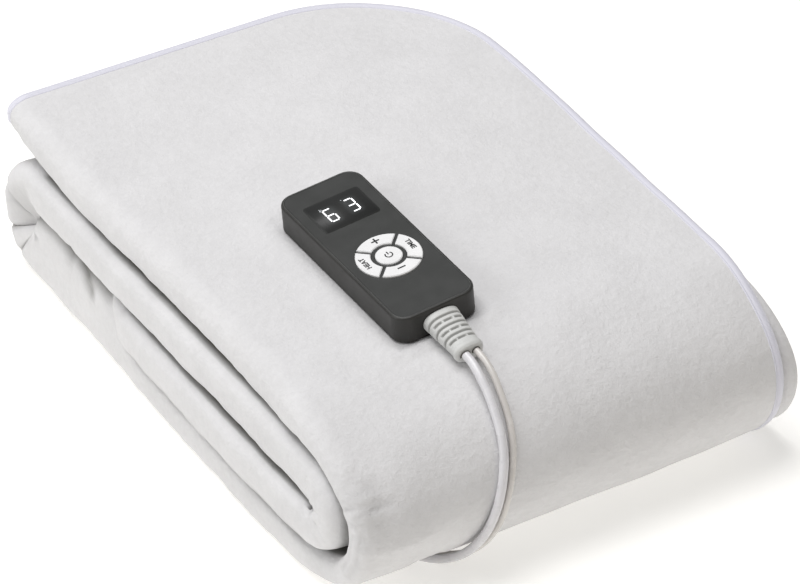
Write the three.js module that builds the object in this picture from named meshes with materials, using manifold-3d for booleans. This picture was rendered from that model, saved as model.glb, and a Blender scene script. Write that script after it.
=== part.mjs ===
// Folded electric heated blanket with a wired handset.
// Millimetres, +Z up. The origin is the middle of the rectangle that the folded bundle covers, on the
// surface it lies on. The bundle's front turn faces -Y, its long fold edges face -X, its hems face +X.
import * as THREE from 'three';
import { mergeVertices } from 'three/addons/utils/BufferGeometryUtils.js';
import Module from 'manifold-3d';

const wasm = await Module();
wasm.setup();

// ---------------------------------------------------------------- driving dimensions

const GAP = 0.3;

// The cloth is folded lengthwise into a strip of four plies, and the strip is then wound into a bundle
// of four layers. Heights are those of the strip's outer face.
const cloth = {
  ply: 4.0, // quilted double fleece
  loosePitch: 7.5, // from ply to ply where the strip lies loose
  tautPitch: 4.5, // and where it is drawn round a turn
  layerGap: 2.0,
};
const stripHeight = cloth.ply + 3 * cloth.loosePitch;
const layerStep = stripHeight + cloth.layerGap;

const bundle = {
  backEnd: 205, // free end of the top layer
  topTurnStart: -129, // where the top layer starts to bend down
  front: -209, // foremost point of the outer turn
  backTurn: 164.5, // middle of the turn at the back
  innerTurn: -160, // middle of the nested front turn
  innerEnd: 130, // free end of the third layer, inside the bundle
  height: 3 * layerStep + stripHeight,
};
const corner = { radius: 98, steps: 5 }; // rounded blanket corner at the back right
const foldReach = 13; // from the tip of the long left fold to where its plies lie straight
// Roundness of that fold's outer and inner half on each leg: 1 is an ellipse, less is squarer.
const foldRoundness = {
  top: [1, 0.55],
  outerTurn: [0.9, 0.55],
  bottom: [0.75, 0.5],
  backTurn: [0.8, 0.55],
  second: [0.7, 0.5],
  innerTurn: [0.75, 0.6],
  third: [0.5, 0.5],
};
const tightEnd = { taut: 0.8, from: 130 }; // the plies lie closer towards the top layer's end
const turnTaut = { backTurn: 0.3, innerTurn: 0.3 };
const innerHem = { inset: 6.8, puffedInset: 14.8 }; // how far the inner hem lies inside the outer one
const binding = { clearance: 0.45, reach: 3.0, thick: 3.8 };

// Where the strip's edges lie, from the free end of the top layer to the end of the third layer.
// left: outermost point of the long fold. hem: edge of the outer ply. fold: far edge of the ply 3-4 fold,
// which stands out past the hems at the front. puff: how far that fold swells outward there.
const edgeRows = [
  { at: 'top', y: 205, left: -132, hem: 139, fold: 134, puff: 0 },
  { at: 'top', y: 198, left: -138, hem: 139, fold: 134, puff: 0 },
  { at: 'top', y: 185, left: -141, hem: 139, fold: 134, puff: 0 },
  { at: 'top', y: 120, left: -142, hem: 139, fold: 134, puff: 0 },
  { at: 'top', y: 20, left: -138, hem: 139.5, fold: 134, puff: 0 },
  { at: 'top', y: -75, left: -138, hem: 139, fold: 135, puff: 0 },
  { at: 'top', y: -110, left: -139, hem: 139, fold: 139, puff: 0.2 },
  { at: 'outerTurn', y: 0, left: -141, hem: 138.5, fold: 142.5, puff: 0.5 },
  { at: 'outerTurn', y: 0.25, left: -141.5, hem: 138.5, fold: 149.5, puff: 0.85 },
  { at: 'outerTurn', y: 0.5, left: -142, hem: 138.5, fold: 156, puff: 1 },
  { at: 'outerTurn', y: 0.8, left: -143, hem: 138.5, fold: 156.5, puff: 1 },
  { at: 'outerTurn', y: 1, left: -146.5, hem: 138.5, fold: 153, puff: 0.9 },
  { at: 'bottom', y: -140, left: -149, hem: 138.5, fold: 149, puff: 0.5 },
  { at: 'bottom', y: 30, left: -148, hem: 138, fold: 135, puff: 0 },
  { at: 'bottom', y: 150, left: -146, hem: 137, fold: 134, puff: 0 },
  { at: 'backTurn', y: 0, left: -147, hem: 136, fold: 133, puff: 0 },
  { at: 'backTurn', y: 1, left: -149, hem: 136, fold: 133, puff: 0 },
  { at: 'second', y: 130, left: -148, hem: 138, fold: 135, puff: 0 },
  { at: 'second', y: 40, left: -147, hem: 140, fold: 137, puff: 0 },
  { at: 'second', y: -140, left: -145, hem: 138, fold: 138, puff: 0 },
  { at: 'innerTurn', y: 0, left: -147, hem: 136, fold: 137, puff: 0 },
  { at: 'innerTurn', y: 1, left: -150, hem: 136, fold: 137, puff: 0 },
  { at: 'third', y: -60, left: -153, hem: 137, fold: 136, puff: 0 },
  { at: 'third', y: 95, left: -152, hem: 135, fold: 133, puff: 0 },
  { at: 'third', y: 112, left: -149, hem: 135, fold: 133, puff: 0 },
  { at: 'third', y: 123, left: -142, hem: 135, fold: 133, puff: 0 },
  { at: 'third', y: 130, left: -128, hem: 135, fold: 133, puff: 0 },
];

// Crown of the bundle: share by which all heights grow or shrink across its width.
const crownRows = [
  { x: -150, share: -0.078 },
  { x: -97, share: -0.0574 },
  { x: 18, share: 0.0325 },
  { x: 63, share: 0.043 },
  { x: 140, share: 0.02 },
  { x: 155, share: 0.01 },
];
const crownBack = { share: -0.035, from: 60, to: 185 }; // even height towards the back end
const bow = { reach: 4.2, halfWidth: 150, from: -140, to: -190 }; // the front bows out in the middle
const skew = { share: -0.02, from: 60, to: 200 }; // the back end runs a little askew

// The leads run under the bundle, and the cloth lies over them.
const tunnel = { x: -90, roof: 6.4, flatHalf: 7, slopeHalf: 15, fade: 14 };
const swell = { depth: 4.0, underside: 12.4, neck: 8.4 }; // depths of the ply middles in the swollen fold

const handset = {
  x: -38.1,
  y: -55,
  width: 54,
  length: 138,
  height: 18.5,
  cornerRadius: 10,
  edgeRound: 1.4,
  turn: 0.4, // degrees about Z
  lean: -5, // degrees about its own long axis: the left side lies lower
  seat: 0.45, // above the cloth under its middle
};
const face = { inset: 1.8, thickness: 2.2 };
const display = { width: 34, length: 25, depth: 1.0, sink: 0.1, y: 38.2, cornerRadius: 1.5 };
const keys = {
  y: -14.4, // middle of the key ring, from the middle of the handset
  outerRadius: 19.6,
  ringInner: 10.6,
  centreRadius: 8.0,
  web: 2.0, // between neighbouring ring keys
  height: 3.4,
  stand: 1.2, // above the face
  travel: 0.8,
  clearance: 0.3,
  edge: 0.5,
  wellMargin: 1.2, // of the shell's well round the ring
  wellSpare: 0.6, // below a key that is pressed in
};
const relief = {
  length: 31,
  dip: 8, // degrees below the handset's own plane
  height: 9.2,
  wide: 23,
  thick: 13,
  endWide: 17,
  endThick: 10.5,
  collar: 0.7,
  grooveDepth: 1.1,
  grooveHalf: 0.03, // as shares of the length
  grooveFloorHalf: 0.02,
  grooves: [0.16, 0.4, 0.64],
  slotRows: [0.28, 0.52, 0.76],
  slot: { long: 4.2, wide: 1.5, deep: 2.2, spacing: 6.2, outerSink: 0.7 },
};

const mains = { diameter: 5.4, coilRadius: 31, turnsAcross: 2, turnsHigh: 3 };
const floorGap = 0.1; // below what lies loose on the floor
const inner = { diameter: 4.2 };
const plug = {
  width: 30,
  length: 36,
  height: 19,
  neck: 6,
  taper: 12,
  chamfer: 4,
  edge: 2,
  pinLength: 17,
  pinWide: 6.3,
  pinThick: 1.6,
  pinSpacing: 13.7,
  pinSlant: 60, // degrees
};

// ---------------------------------------------------------------- small helpers

const lerp = (a, b, t) => a + (b - a) * t;
const clamp01 = (t) => Math.min(1, Math.max(0, t));
const smooth = (t) => clamp01(t) ** 2 * (3 - 2 * clamp01(t));
const degrees = THREE.MathUtils.degToRad;

function tableValue(rows, key, column, value) {
  let i = 0;
  while (i < rows.length - 2 && value > rows[i + 1][key]) i += 1;
  const t = clamp01((value - rows[i][key]) / (rows[i + 1][key] - rows[i][key]));
  return lerp(rows[i][column], rows[i + 1][column], t);
}

// Closed mesh from rings of points: neighbouring rings are joined by quads, and the ends are capped
// unless the rings run in a closed loop.
function loft(rings, { loop = false, capShape = null } = {}) {
  const n = rings[0].length;
  const position = [];
  for (const ring of rings) for (const p of ring) position.push(p.x, p.y, p.z);
  const index = [];
  const last = loop ? rings.length : rings.length - 1;
  for (let i = 0; i < last; i += 1) {
    const a = i * n;
    const b = ((i + 1) % rings.length) * n;
    for (let j = 0; j < n; j += 1) {
      const k = (j + 1) % n;
      index.push(a + j, a + k, b + k);
      index.push(a + j, b + k, b + j);
    }
  }
  if (!loop) {
    for (const [ringIndex, sense] of [[0, -1], [rings.length - 1, 1]]) {
      const outline = capShape ? capShape(ringIndex) : flatOutline(rings[ringIndex]);
      const turning = sense * Math.sign(THREE.ShapeUtils.area(outline));
      for (const tri of THREE.ShapeUtils.triangulateShape(outline, [])) {
        const [a, b, c] = tri.map((k) => ringIndex * n + k);
        if (THREE.ShapeUtils.area(tri.map((k) => outline[k])) * turning > 0) index.push(a, b, c);
        else index.push(a, c, b);
      }
    }
  }
  const geometry = new THREE.BufferGeometry();
  geometry.setAttribute('position', new THREE.Float32BufferAttribute(position, 3));
  geometry.setIndex(index);
  return outward(geometry);
}

function flatOutline(ring) {
  const centre = ring.reduce((sum, p) => sum.add(p), new THREE.Vector3()).divideScalar(ring.length);
  const u = ring[0].clone().sub(centre).normalize();
  const side = ring[Math.floor(ring.length / 4)].clone().sub(centre);
  const v = side.sub(u.clone().multiplyScalar(side.dot(u))).normalize();
  return ring.map((p) => {
    const d = p.clone().sub(centre);
    return new THREE.Vector2(d.dot(u), d.dot(v));
  });
}

function signedVolume(geometry) {
  const p = geometry.getAttribute('position');
  const index = geometry.getIndex();
  const corners = [new THREE.Vector3(), new THREE.Vector3(), new THREE.Vector3()];
  let sum = 0;
  for (let i = 0; i < index.count; i += 3) {
    corners.forEach((c, k) => c.fromBufferAttribute(p, index.getX(i + k)));
    sum += corners[0].dot(corners[1].clone().cross(corners[2]));
  }
  return sum;
}

function outward(geometry) {
  if (signedVolume(geometry) > 0) return geometry;
  const index = Array.from(geometry.getIndex().array);
  for (let i = 0; i < index.length; i += 3) [index[i + 1], index[i + 2]] = [index[i + 2], index[i + 1]];
  geometry.setIndex(index);
  return geometry;
}

function solid(geometry) {
  const bare = geometry.clone();
  for (const name of Object.keys(bare.attributes)) if (name !== 'position') bare.deleteAttribute(name);
  const merged = mergeVertices(bare, 1e-4);
  return new wasm.Manifold(
    new wasm.Mesh({
      numProp: 3,
      vertProperties: new Float32Array(merged.getAttribute('position').array),
      triVerts: new Uint32Array(merged.getIndex().array),
    }),
  );
}

function shell(manifold) {
  const mesh = manifold.getMesh();
  const geometry = new THREE.BufferGeometry();
  geometry.setAttribute('position', new THREE.Float32BufferAttribute(mesh.vertProperties, 3));
  geometry.setIndex(Array.from(mesh.triVerts));
  return geometry;
}

const cut = (body, ...tools) => shell(tools.reduce((rest, tool) => rest.subtract(solid(tool)), solid(body)));

// ---------------------------------------------------------------- the folded cloth

// Way of the strip's outer face through the bundle, in the Y-Z plane, with the share of tautness.
function stripWay() {
  const top = bundle.height;
  const mid = top / 2;
  const secondTop = bundle.height - layerStep;
  const thirdBottom = layerStep;
  const upper = { a: bundle.topTurnStart - bundle.front, b: mid };
  const lowerCentre = bundle.front + mid;
  const backRadius = secondTop / 2;
  const innerRadius = (secondTop - thirdBottom) / 2;
  const innerMid = (secondTop + thirdBottom) / 2;
  const stations = [];
  const add = (at, t, y, z, taut) => stations.push({ at, t, y, z, taut });

  const cornerStart = bundle.backEnd - corner.radius;
  for (let i = corner.steps; i >= 0; i -= 1) {
    const y = cornerStart + corner.radius * Math.sin((i / corner.steps) * (Math.PI / 2));
    add('top', y, y, top, tightEnd.taut * smooth((y - tightEnd.from) / (bundle.backEnd - tightEnd.from)));
  }
  for (const y of [75, 30, -15, -60, -95]) add('top', y, y, top, 0);
  for (let i = 0; i <= 6; i += 1) {
    const a = (i / 6) * (Math.PI / 2);
    const y = bundle.topTurnStart - upper.a * Math.sin(a);
    add('outerTurn', i / 12, y, mid + upper.b * Math.cos(a), 0.4 + 0.1 * i);
  }
  for (let i = 1; i <= 5; i += 1) {
    const a = (i / 5) * (Math.PI / 2);
    add('outerTurn', 0.5 + i / 10, lowerCentre - mid * Math.cos(a), mid - mid * Math.sin(a), 1 - 0.1 * i);
  }
  for (const y of [-115, -70, -15, 40, 95, 135]) add('bottom', y, y, 0, 0);
  for (let i = 0; i <= 8; i += 1) {
    const a = (i / 8) * Math.PI;
    const y = bundle.backTurn + backRadius * Math.sin(a);
    add('backTurn', i / 8, y, backRadius * (1 - Math.cos(a)), turnTaut.backTurn);
  }
  for (const y of [130, 85, 30, -25, -80, -125]) add('second', y, y, secondTop, 0);
  for (let i = 0; i <= 7; i += 1) {
    const a = (i / 7) * Math.PI;
    const y = bundle.innerTurn - innerRadius * Math.sin(a);
    add('innerTurn', i / 7, y, innerMid + innerRadius * Math.cos(a), turnTaut.innerTurn);
  }
  for (const y of [-125, -70, -10, 50, 95, 112, 123, bundle.innerEnd]) add('third', y, y, thirdBottom, 0);
  return stations;
}

// Run along the way, which grows by one for each section, so that the edge table reads in one direction.
const sections = ['top', 'outerTurn', 'bottom', 'backTurn', 'second', 'innerTurn', 'third'];
const runsForward = ['top', 'second']; // towards -Y
const yReach = 250; // more than any Y in the bundle
const runOf = (at, t) => {
  const alongFlat = ((runsForward.includes(at) ? -t : t) + yReach) / (2 * yReach);
  return sections.indexOf(at) + (at.endsWith('Turn') ? t : alongFlat);
};
const edgeRuns = edgeRows.map((row) => ({ ...row, run: runOf(row.at, row.y) }));

function edgesAt(station) {
  const run = runOf(station.at, station.t);
  const value = (column) => tableValue(edgeRuns, 'run', column, run);
  const edges = { left: value('left'), hem: value('hem'), fold: value('fold'), puff: value('puff') };
  const into = station.at === 'top' ? station.y - (bundle.backEnd - corner.radius) : 0;
  if (into > 0) {
    const inset = corner.radius - Math.sqrt(Math.max(0, corner.radius ** 2 - into ** 2));
    edges.hem -= inset;
    edges.fold = Math.min(edges.fold, edges.hem - 4);
  }
  return edges;
}

// Middle line of the four plies, from the outer hem to the inner hem, as x and depth below the outer face.
const plySamples = {
  first: [0, 0.16, 0.34, 0.52, 0.7, 0.828, 0.8577, 0.9088, 0.938, 1],
  second: [0, 0.33, 0.67, 1],
  third: [0, 0.5, 1],
  fourth: [0, 0.12, 0.55, 1],
};
function plyLine(edges, pitch, [outerRound, innerRound]) {
  const depth = (k) => cloth.ply / 2 + (k - 1) * pitch;
  const bend = edges.left + foldReach;
  const hem2 = edges.hem - lerp(innerHem.inset, innerHem.puffedInset, edges.puff);
  const line = [];
  const run = (from, to, d, samples) => {
    for (const s of samples) line.push({ x: lerp(from, to, s), d });
  };
  const arc = (cx, d0, d1, reach, steps, firstRound = 1, lastRound = 1) => {
    for (let i = 1; i < steps; i += 1) {
      const a = (i / steps) * Math.PI;
      const round = i < steps / 2 ? firstRound : lastRound;
      const down = Math.sign(Math.cos(a)) * Math.abs(Math.cos(a)) ** round;
      line.push({ x: cx + reach * Math.sin(a) ** round, d: (d0 + d1) / 2 + ((d0 - d1) / 2) * down });
    }
  };
  const upper = lerp(depth(3), swell.depth, edges.puff);
  const lower = lerp(depth(4), swell.underside, edges.puff);
  const foldRadius = (lower - upper) / 2;
  const foldCentre = edges.fold - foldRadius - cloth.ply / 2;
  const neck = Math.min(edges.hem + 1, foldCentre - 1);
  const easeTo = Math.min(hem2 + 4, foldCentre - 3);
  run(edges.hem, bend, depth(1), plySamples.first);
  arc(bend, depth(1), depth(4), -(foldReach - cloth.ply / 2), 6, outerRound, innerRound);
  run(bend, easeTo, depth(4), plySamples.fourth);
  line.push({ x: foldCentre, d: lower });
  arc(foldCentre, lower, upper, foldRadius, 4);
  line.push({ x: foldCentre, d: upper });
  line.push({ x: neck, d: lerp(depth(3), swell.neck, edges.puff) });
  run(easeTo, bend, depth(3), plySamples.third);
  arc(bend, depth(3), depth(2), -pitch / 2, 4);
  run(bend, hem2, depth(2), plySamples.second);
  return line;
}

function lineNormals(line) {
  return line.map((p, i) => {
    const a = line[Math.max(0, i - 1)];
    const b = line[Math.min(line.length - 1, i + 1)];
    const t = new THREE.Vector2(b.x - a.x, b.d - a.d).normalize();
    return new THREE.Vector2(t.y, -t.x);
  });
}

// Soft shape of the bundle: crown across the width, and the cloth's rise over the two leads.
function settle(p) {
  const middle = tableValue(crownRows, 'x', 'share', p.x);
  const backwards = smooth((p.y - crownBack.from) / (crownBack.to - crownBack.from));
  const share = lerp(middle, crownBack.share, backwards);
  const off = Math.abs(p.x - tunnel.x);
  const over = smooth((tunnel.slopeHalf - off) / (tunnel.slopeHalf - tunnel.flatHalf));
  const rise = tunnel.roof * over * Math.exp(-p.z / tunnel.fade);
  const bowed = bow.reach * (1 - (p.x / bow.halfWidth) ** 2) * smooth((bow.from - p.y) / (bow.from - bow.to));
  const skewed = skew.share * p.x * smooth((p.y - skew.from) / (skew.to - skew.from));
  return new THREE.Vector3(p.x, p.y - bowed + skewed, p.z * (1 + share) + rise);
}

function buildFrames(stations) {
  return stations.map((s, i) => {
    const a = stations[Math.max(0, i - 1)];
    const b = stations[Math.min(stations.length - 1, i + 1)];
    const t = new THREE.Vector2(b.y - a.y, b.z - a.z).normalize();
    const flat = !s.at.endsWith('Turn');
    const tangent = flat ? new THREE.Vector2(Math.sign(t.x), 0) : t;
    const edges = edgesAt(s);
    const pitch = lerp(cloth.loosePitch, cloth.tautPitch, smooth(s.taut));
    const line = plyLine(edges, pitch, foldRoundness[s.at]);
    return { ...s, tangent, edges, pitch, line, normals: lineNormals(line) };
  });
}

const place = (frame, x, d) =>
  settle(new THREE.Vector3(x, frame.y - frame.tangent.y * d, frame.z + frame.tangent.x * d));

function clothGeometry(frames) {
  const half = cloth.ply / 2;
  const sectionOf = (frame) => {
    const beside = (reach) =>
      frame.line.map((p, i) => [p.x + frame.normals[i].x * reach, p.d + frame.normals[i].y * reach]);
    return [...beside(half), ...beside(-half).reverse()];
  };
  const rings = frames.map((frame) => sectionOf(frame).map(([x, d]) => place(frame, x, d)));
  const capShape = (k) => sectionOf(frames[k]).map(([x, d]) => new THREE.Vector2(x, -d));
  return loft(rings, { capShape });
}

// Binding tape round all four edges: a closed loop along the outer hem, across the top layer's end,
// back along the inner hem and across the hidden end.
function bindingGeometry(frames) {
  const loopPoints = [];
  const put = (frame, i) => {
    const p = frame.line[i];
    const n = frame.normals[i];
    const tip = place(frame, p.x + n.x, p.d + n.y);
    const at = place(frame, p.x, p.d);
    loopPoints.push({ at, up: tip.sub(at).normalize() });
  };
  const last = frames[0].line.length - 1;
  for (let i = frames.length - 1; i >= 1; i -= 1) put(frames[i], 0);
  for (let j = 0; j <= last; j += 1) put(frames[0], j);
  for (let i = 1; i < frames.length - 1; i += 1) put(frames[i], last);
  for (let j = last; j >= 1; j -= 1) put(frames[frames.length - 1], j);
  const count = loopPoints.length;
  const rings = loopPoints.map((point, i) => {
    const a = loopPoints[(i + count - 1) % count].at;
    const b = loopPoints[(i + 1) % count].at;
    const along = b.clone().sub(a).normalize();
    const out = point.up.clone().cross(along).normalize();
    const up = along.clone().cross(out).normalize();
    const corners = [[0, -1], [1, -1], [1, 1], [0, 1]];
    return corners.map(([o, u]) => {
      const rim = point.at.clone().addScaledVector(out, binding.clearance + o * binding.reach);
      return rim.addScaledVector(up, (u * binding.thick) / 2);
    });
  });
  return loft(rings, { loop: true });
}

// ---------------------------------------------------------------- the handset

function roundedRect(width, length, radius, x = 0, y = 0) {
  const shape = new THREE.Shape();
  const w = width / 2 - radius;
  const l = length / 2 - radius;
  shape.absarc(x + w, y + l, radius, 0, Math.PI / 2);
  shape.absarc(x - w, y + l, radius, Math.PI / 2, Math.PI);
  shape.absarc(x - w, y - l, radius, Math.PI, 1.5 * Math.PI);
  shape.absarc(x + w, y - l, radius, 1.5 * Math.PI, 2 * Math.PI);
  shape.closePath();
  return shape;
}

function slab(shape, bottom, top, curveSegments = 6) {
  const options = { depth: top - bottom, bevelEnabled: false, curveSegments };
  return new THREE.ExtrudeGeometry(shape, options).translate(0, 0, bottom);
}

function caseGeometry() {
  const { width, length, height, cornerRadius, edgeRound } = handset;
  const outline = roundedRect(width - 2 * edgeRound, length - 2 * edgeRound, cornerRadius - edgeRound);
  const body = new THREE.ExtrudeGeometry(outline, {
    depth: height - 2 * edgeRound,
    bevelEnabled: true,
    bevelSize: edgeRound,
    bevelThickness: edgeRound,
    bevelSegments: 3,
    curveSegments: 6,
  }).translate(0, 0, edgeRound);
  const recess = roundedRect(
    width - 2 * face.inset,
    length - 2 * face.inset,
    cornerRadius - face.inset,
  );
  const well = new THREE.Shape().absarc(0, keys.y, keys.outerRadius + keys.wellMargin, 0, 2 * Math.PI);
  const floor = height - keys.height - keys.travel - keys.wellSpare;
  const seat = slab(recess, height - face.thickness - GAP, height + 1);
  return cut(body, seat, slab(well, floor, height + 1, 16));
}

// One key of the ring: an annular quarter whose sides run parallel to the webs.
function ringKeyShape(middleAngle, grow = 0) {
  const inner = keys.ringInner - grow;
  const outer = keys.outerRadius + grow;
  const half = keys.web / 2 - grow;
  const innerSpan = Math.PI / 4 - Math.asin(half / inner);
  const outerSpan = Math.PI / 4 - Math.asin(half / outer);
  const shape = new THREE.Shape();
  shape.absarc(0, keys.y, outer, middleAngle - outerSpan, middleAngle + outerSpan, false);
  shape.absarc(0, keys.y, inner, middleAngle + innerSpan, middleAngle - innerSpan, true);
  shape.closePath();
  return shape;
}

const centreKeyShape = (grow = 0) =>
  new THREE.Shape().absarc(0, keys.y, keys.centreRadius + grow, 0, 2 * Math.PI);

const ringKeys = [
  { name: 'key_plus', angle: Math.PI / 2 },
  { name: 'key_heat', angle: Math.PI },
  { name: 'key_minus', angle: 1.5 * Math.PI },
  { name: 'key_time', angle: 0 },
];

function faceGeometry() {
  const { width, length, height, cornerRadius } = handset;
  const edge = face.inset + GAP;
  const outline = roundedRect(width - 2 * edge, length - 2 * edge, cornerRadius - edge);
  const plate = slab(outline, height - face.thickness, height);
  const holes = ringKeys.map((key) => slab(ringKeyShape(key.angle, keys.clearance), 0, height + 1));
  const centre = slab(centreKeyShape(keys.clearance), 0, height + 1, 12);
  const pocket = slab(
    roundedRect(display.width, display.length, display.cornerRadius, 0, display.y),
    height - display.depth - GAP,
    height + 1,
    3,
  );
  return cut(plate, ...holes, centre, pocket);
}

function keyGeometry(shape, curveSegments) {
  const body = new THREE.ExtrudeGeometry(shape, {
    depth: keys.height + keys.stand - 2 * keys.edge,
    bevelEnabled: true,
    bevelSize: keys.edge,
    bevelOffset: -keys.edge,
    bevelThickness: keys.edge,
    bevelSegments: 1,
    curveSegments,
  });
  return body.translate(0, 0, handset.height - keys.height + keys.edge);
}

function displayGeometry() {
  const window = roundedRect(
    display.width - 2 * GAP,
    display.length - 2 * GAP,
    display.cornerRadius - GAP,
    0,
    display.y,
  );
  return slab(window, handset.height - display.depth, handset.height - display.sink, 3);
}

// Flattened, ribbed strain relief at the handset's cord end. It dips towards the cloth, and its
// sections stay parallel to the handset's end face.
function reliefPoint(share, across, up) {
  const run = share * relief.length;
  return new THREE.Vector3(
    across,
    -handset.length / 2 - GAP - run * Math.cos(degrees(relief.dip)),
    relief.height + up - run * Math.sin(degrees(relief.dip)),
  );
}

function reliefGeometry() {
  const { grooves, grooveHalf, grooveFloorHalf, grooveDepth, collar, slot } = relief;
  const steps = (g) => [g - grooveHalf, g - grooveFloorHalf, g + grooveFloorHalf, g + grooveHalf];
  const marks = [0, ...grooves.flatMap(steps), 0.86, 0.9, 0.97, 1];
  const rounded = (value) => Math.sign(value) * Math.abs(value) ** 0.8;
  const rings = marks.map((share) => {
    const inGroove = grooves.some((g) => Math.abs(share - g) < (grooveHalf + grooveFloorHalf) / 2);
    const inCollar = share > 0.88 && share < 0.98;
    const swelling = (inCollar ? collar : 0) - (inGroove ? grooveDepth : 0);
    const a = lerp(relief.wide, relief.endWide, share) / 2 + swelling;
    const b = lerp(relief.thick, relief.endThick, share) / 2 + swelling;
    const around = Array.from({ length: 20 }, (_, k) => (k / 20) * 2 * Math.PI);
    return around.map((t) => reliefPoint(share, a * rounded(Math.cos(t)), b * rounded(Math.sin(t))));
  });
  const slots = relief.slotRows.flatMap((share) =>
    [-1, 0, 1].map((column) => {
      const halfThick = lerp(relief.thick, relief.endThick, share) / 2;
      const sink = column === 0 ? 0 : slot.outerSink;
      const middle = reliefPoint(share, column * slot.spacing, halfThick - sink);
      return new THREE.BoxGeometry(slot.long, slot.wide, slot.deep).translate(...middle);
    }),
  );
  return cut(loft(rings), ...slots);
}

// ---------------------------------------------------------------- leads

const v = (x, y, z) => new THREE.Vector3(x, y, z);

const leadFloor = mains.diameter / 2 + floorGap;
const innerFloor = inner.diameter / 2 + floorGap;
const coilCentre = v(-20, 262.8, 0);

// From the strain relief over the front turn, under the bundle and out behind it to the coil.
const mainsRoute = [
  v(-41.2, -155.8, 115.8),
  v(-41, -160, 115.3),
  v(-41.2, -166, 113.8),
  v(-41.6, -173, 110.8),
  v(-42.2, -182, 105.6),
  v(-43.6, -192.4, 98),
  v(-45.4, -201.6, 89.4),
  v(-48.2, -208.6, 80),
  v(-51.4, -213, 71),
  v(-54.6, -215.4, 61),
  v(-58, -215.8, 50),
  v(-61.6, -213.4, 37.6),
  v(-65.2, -207.6, 25),
  v(-69, -199.4, 13.8),
  v(-73.6, -190.8, 6.6),
  v(-79.4, -182.8, leadFloor + 0.5),
  v(-85.4, -174.6, leadFloor),
  v(-89.8, -165, leadFloor),
  v(-92.2, -153, leadFloor),
  v(-92.8, -138, leadFloor),
  v(-92.8, -100, leadFloor),
  v(-92.8, -40, leadFloor),
  v(-92.8, 30, leadFloor),
  v(-92.8, 100, leadFloor),
  v(-92.8, 160, leadFloor),
  v(-92.8, 199, leadFloor),
  v(-91.2, 212.6, leadFloor),
  v(-85, 223.4, leadFloor),
  v(-74, 229.4, leadFloor),
  v(-58, 230.3, leadFloor),
  v(coilCentre.x - 20.1, 230.3, leadFloor),
];

// From the top of the coil down to the plug that lies beside it.
const tailRoute = [
  v(coilCentre.x + 20.5, 230.3, 12.4),
  v(coilCentre.x + 28, 230.4, 11.2),
  v(coilCentre.x + 36, 230.6, 10),
  v(coilCentre.x + 44, 230.6, 9.6),
];

const innerRoute = [
  v(-34.2, -155.7, 116.4),
  v(-33.9, -160, 115.8),
  v(-33.6, -166, 113.9),
  v(-33.6, -173, 110.4),
  v(-34.6, -182, 104.4),
  v(-36, -192, 96.6),
  v(-38.4, -201, 88),
  v(-41.8, -207.8, 78.6),
  v(-45.6, -212.6, 69),
  v(-49, -215, 59),
  v(-52.4, -215.2, 47),
  v(-56, -212, 34),
  v(-59.8, -205.2, 21.4),
  v(-63.8, -196, 10.8),
  v(-68.8, -187.2, 5),
  v(-74.6, -178.8, innerFloor + 0.3),
  v(-80.2, -170.2, innerFloor),
  v(-84.4, -160.4, innerFloor),
  v(-86.8, -149, innerFloor),
  v(-87.4, -136, innerFloor),
  v(-87.4, -100, innerFloor),
  v(-87.4, -40, innerFloor),
  v(-87.4, 30, innerFloor),
  v(-87.4, 100, innerFloor),
  v(-87.4, 160, innerFloor),
  v(-87.4, 186, innerFloor),
  v(-87.3, 200, innerFloor + 0.6),
  v(-87, 212, 6.8),
  v(-86.6, 220, 16.4),
  v(-86, 223.4, 30),
  v(-85, 224.4, 48),
  v(-83.8, 225, 66),
  v(-82.4, 224.4, 80),
  v(-81, 221.4, 91.6),
  v(-80.2, 216.6, 97.4),
  v(-80, 210.9, 98.9),
];

function tube(points, diameter, sides, stepRatio) {
  const curve = new THREE.CatmullRomCurve3(points, false, 'centripetal');
  const steps = Math.min(80, Math.ceil(curve.getLength() / (diameter * stepRatio)));
  const section = new THREE.Shape();
  for (let k = 0; k < sides; k += 1) {
    const a = ((k + 0.5) / sides) * 2 * Math.PI;
    const x = (diameter / 2) * Math.cos(a);
    const y = (diameter / 2) * Math.sin(a);
    if (k === 0) section.moveTo(x, y);
    else section.lineTo(x, y);
  }
  section.closePath();
  return new THREE.ExtrudeGeometry(section, { steps, bevelEnabled: false, extrudePath: curve });
}

function coilGeometry() {
  const halfWide = (mains.turnsAcross * mains.diameter) / 2;
  const high = mains.turnsHigh * mains.diameter;
  const points = [];
  for (let k = 0; k <= 12; k += 1) {
    const a = (k / 12) * 2 * Math.PI;
    const x = Math.sign(Math.cos(a)) * Math.abs(Math.cos(a)) ** 0.6;
    const y = Math.sign(Math.sin(a)) * Math.abs(Math.sin(a)) ** 0.6;
    points.push(new THREE.Vector2(mains.coilRadius + halfWide * x, floorGap + (high / 2) * (1 + y)));
  }
  points[12].copy(points[0]);
  const geometry = new THREE.LatheGeometry(points, 28).rotateX(Math.PI / 2);
  return outward(mergeVertices(geometry.deleteAttribute('normal').deleteAttribute('uv'), 1e-4));
}

// ---------------------------------------------------------------- assembly

const part = new THREE.Group();

const finish = (color, roughness, metalness = 0) =>
  new THREE.MeshStandardMaterial({ color, roughness, metalness });

function add(parent, name, geometry, material) {
  const mesh = new THREE.Mesh(geometry, material);
  mesh.name = name;
  parent.add(mesh);
  return mesh;
}

function addCloth() {
  const frames = buildFrames(stripWay());
  add(part, 'blanket', clothGeometry(frames), finish(0xe9e8ea, 0.95));
  add(part, 'edge_binding', bindingGeometry(frames), finish(0xe0dfec, 0.5));
}

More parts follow.
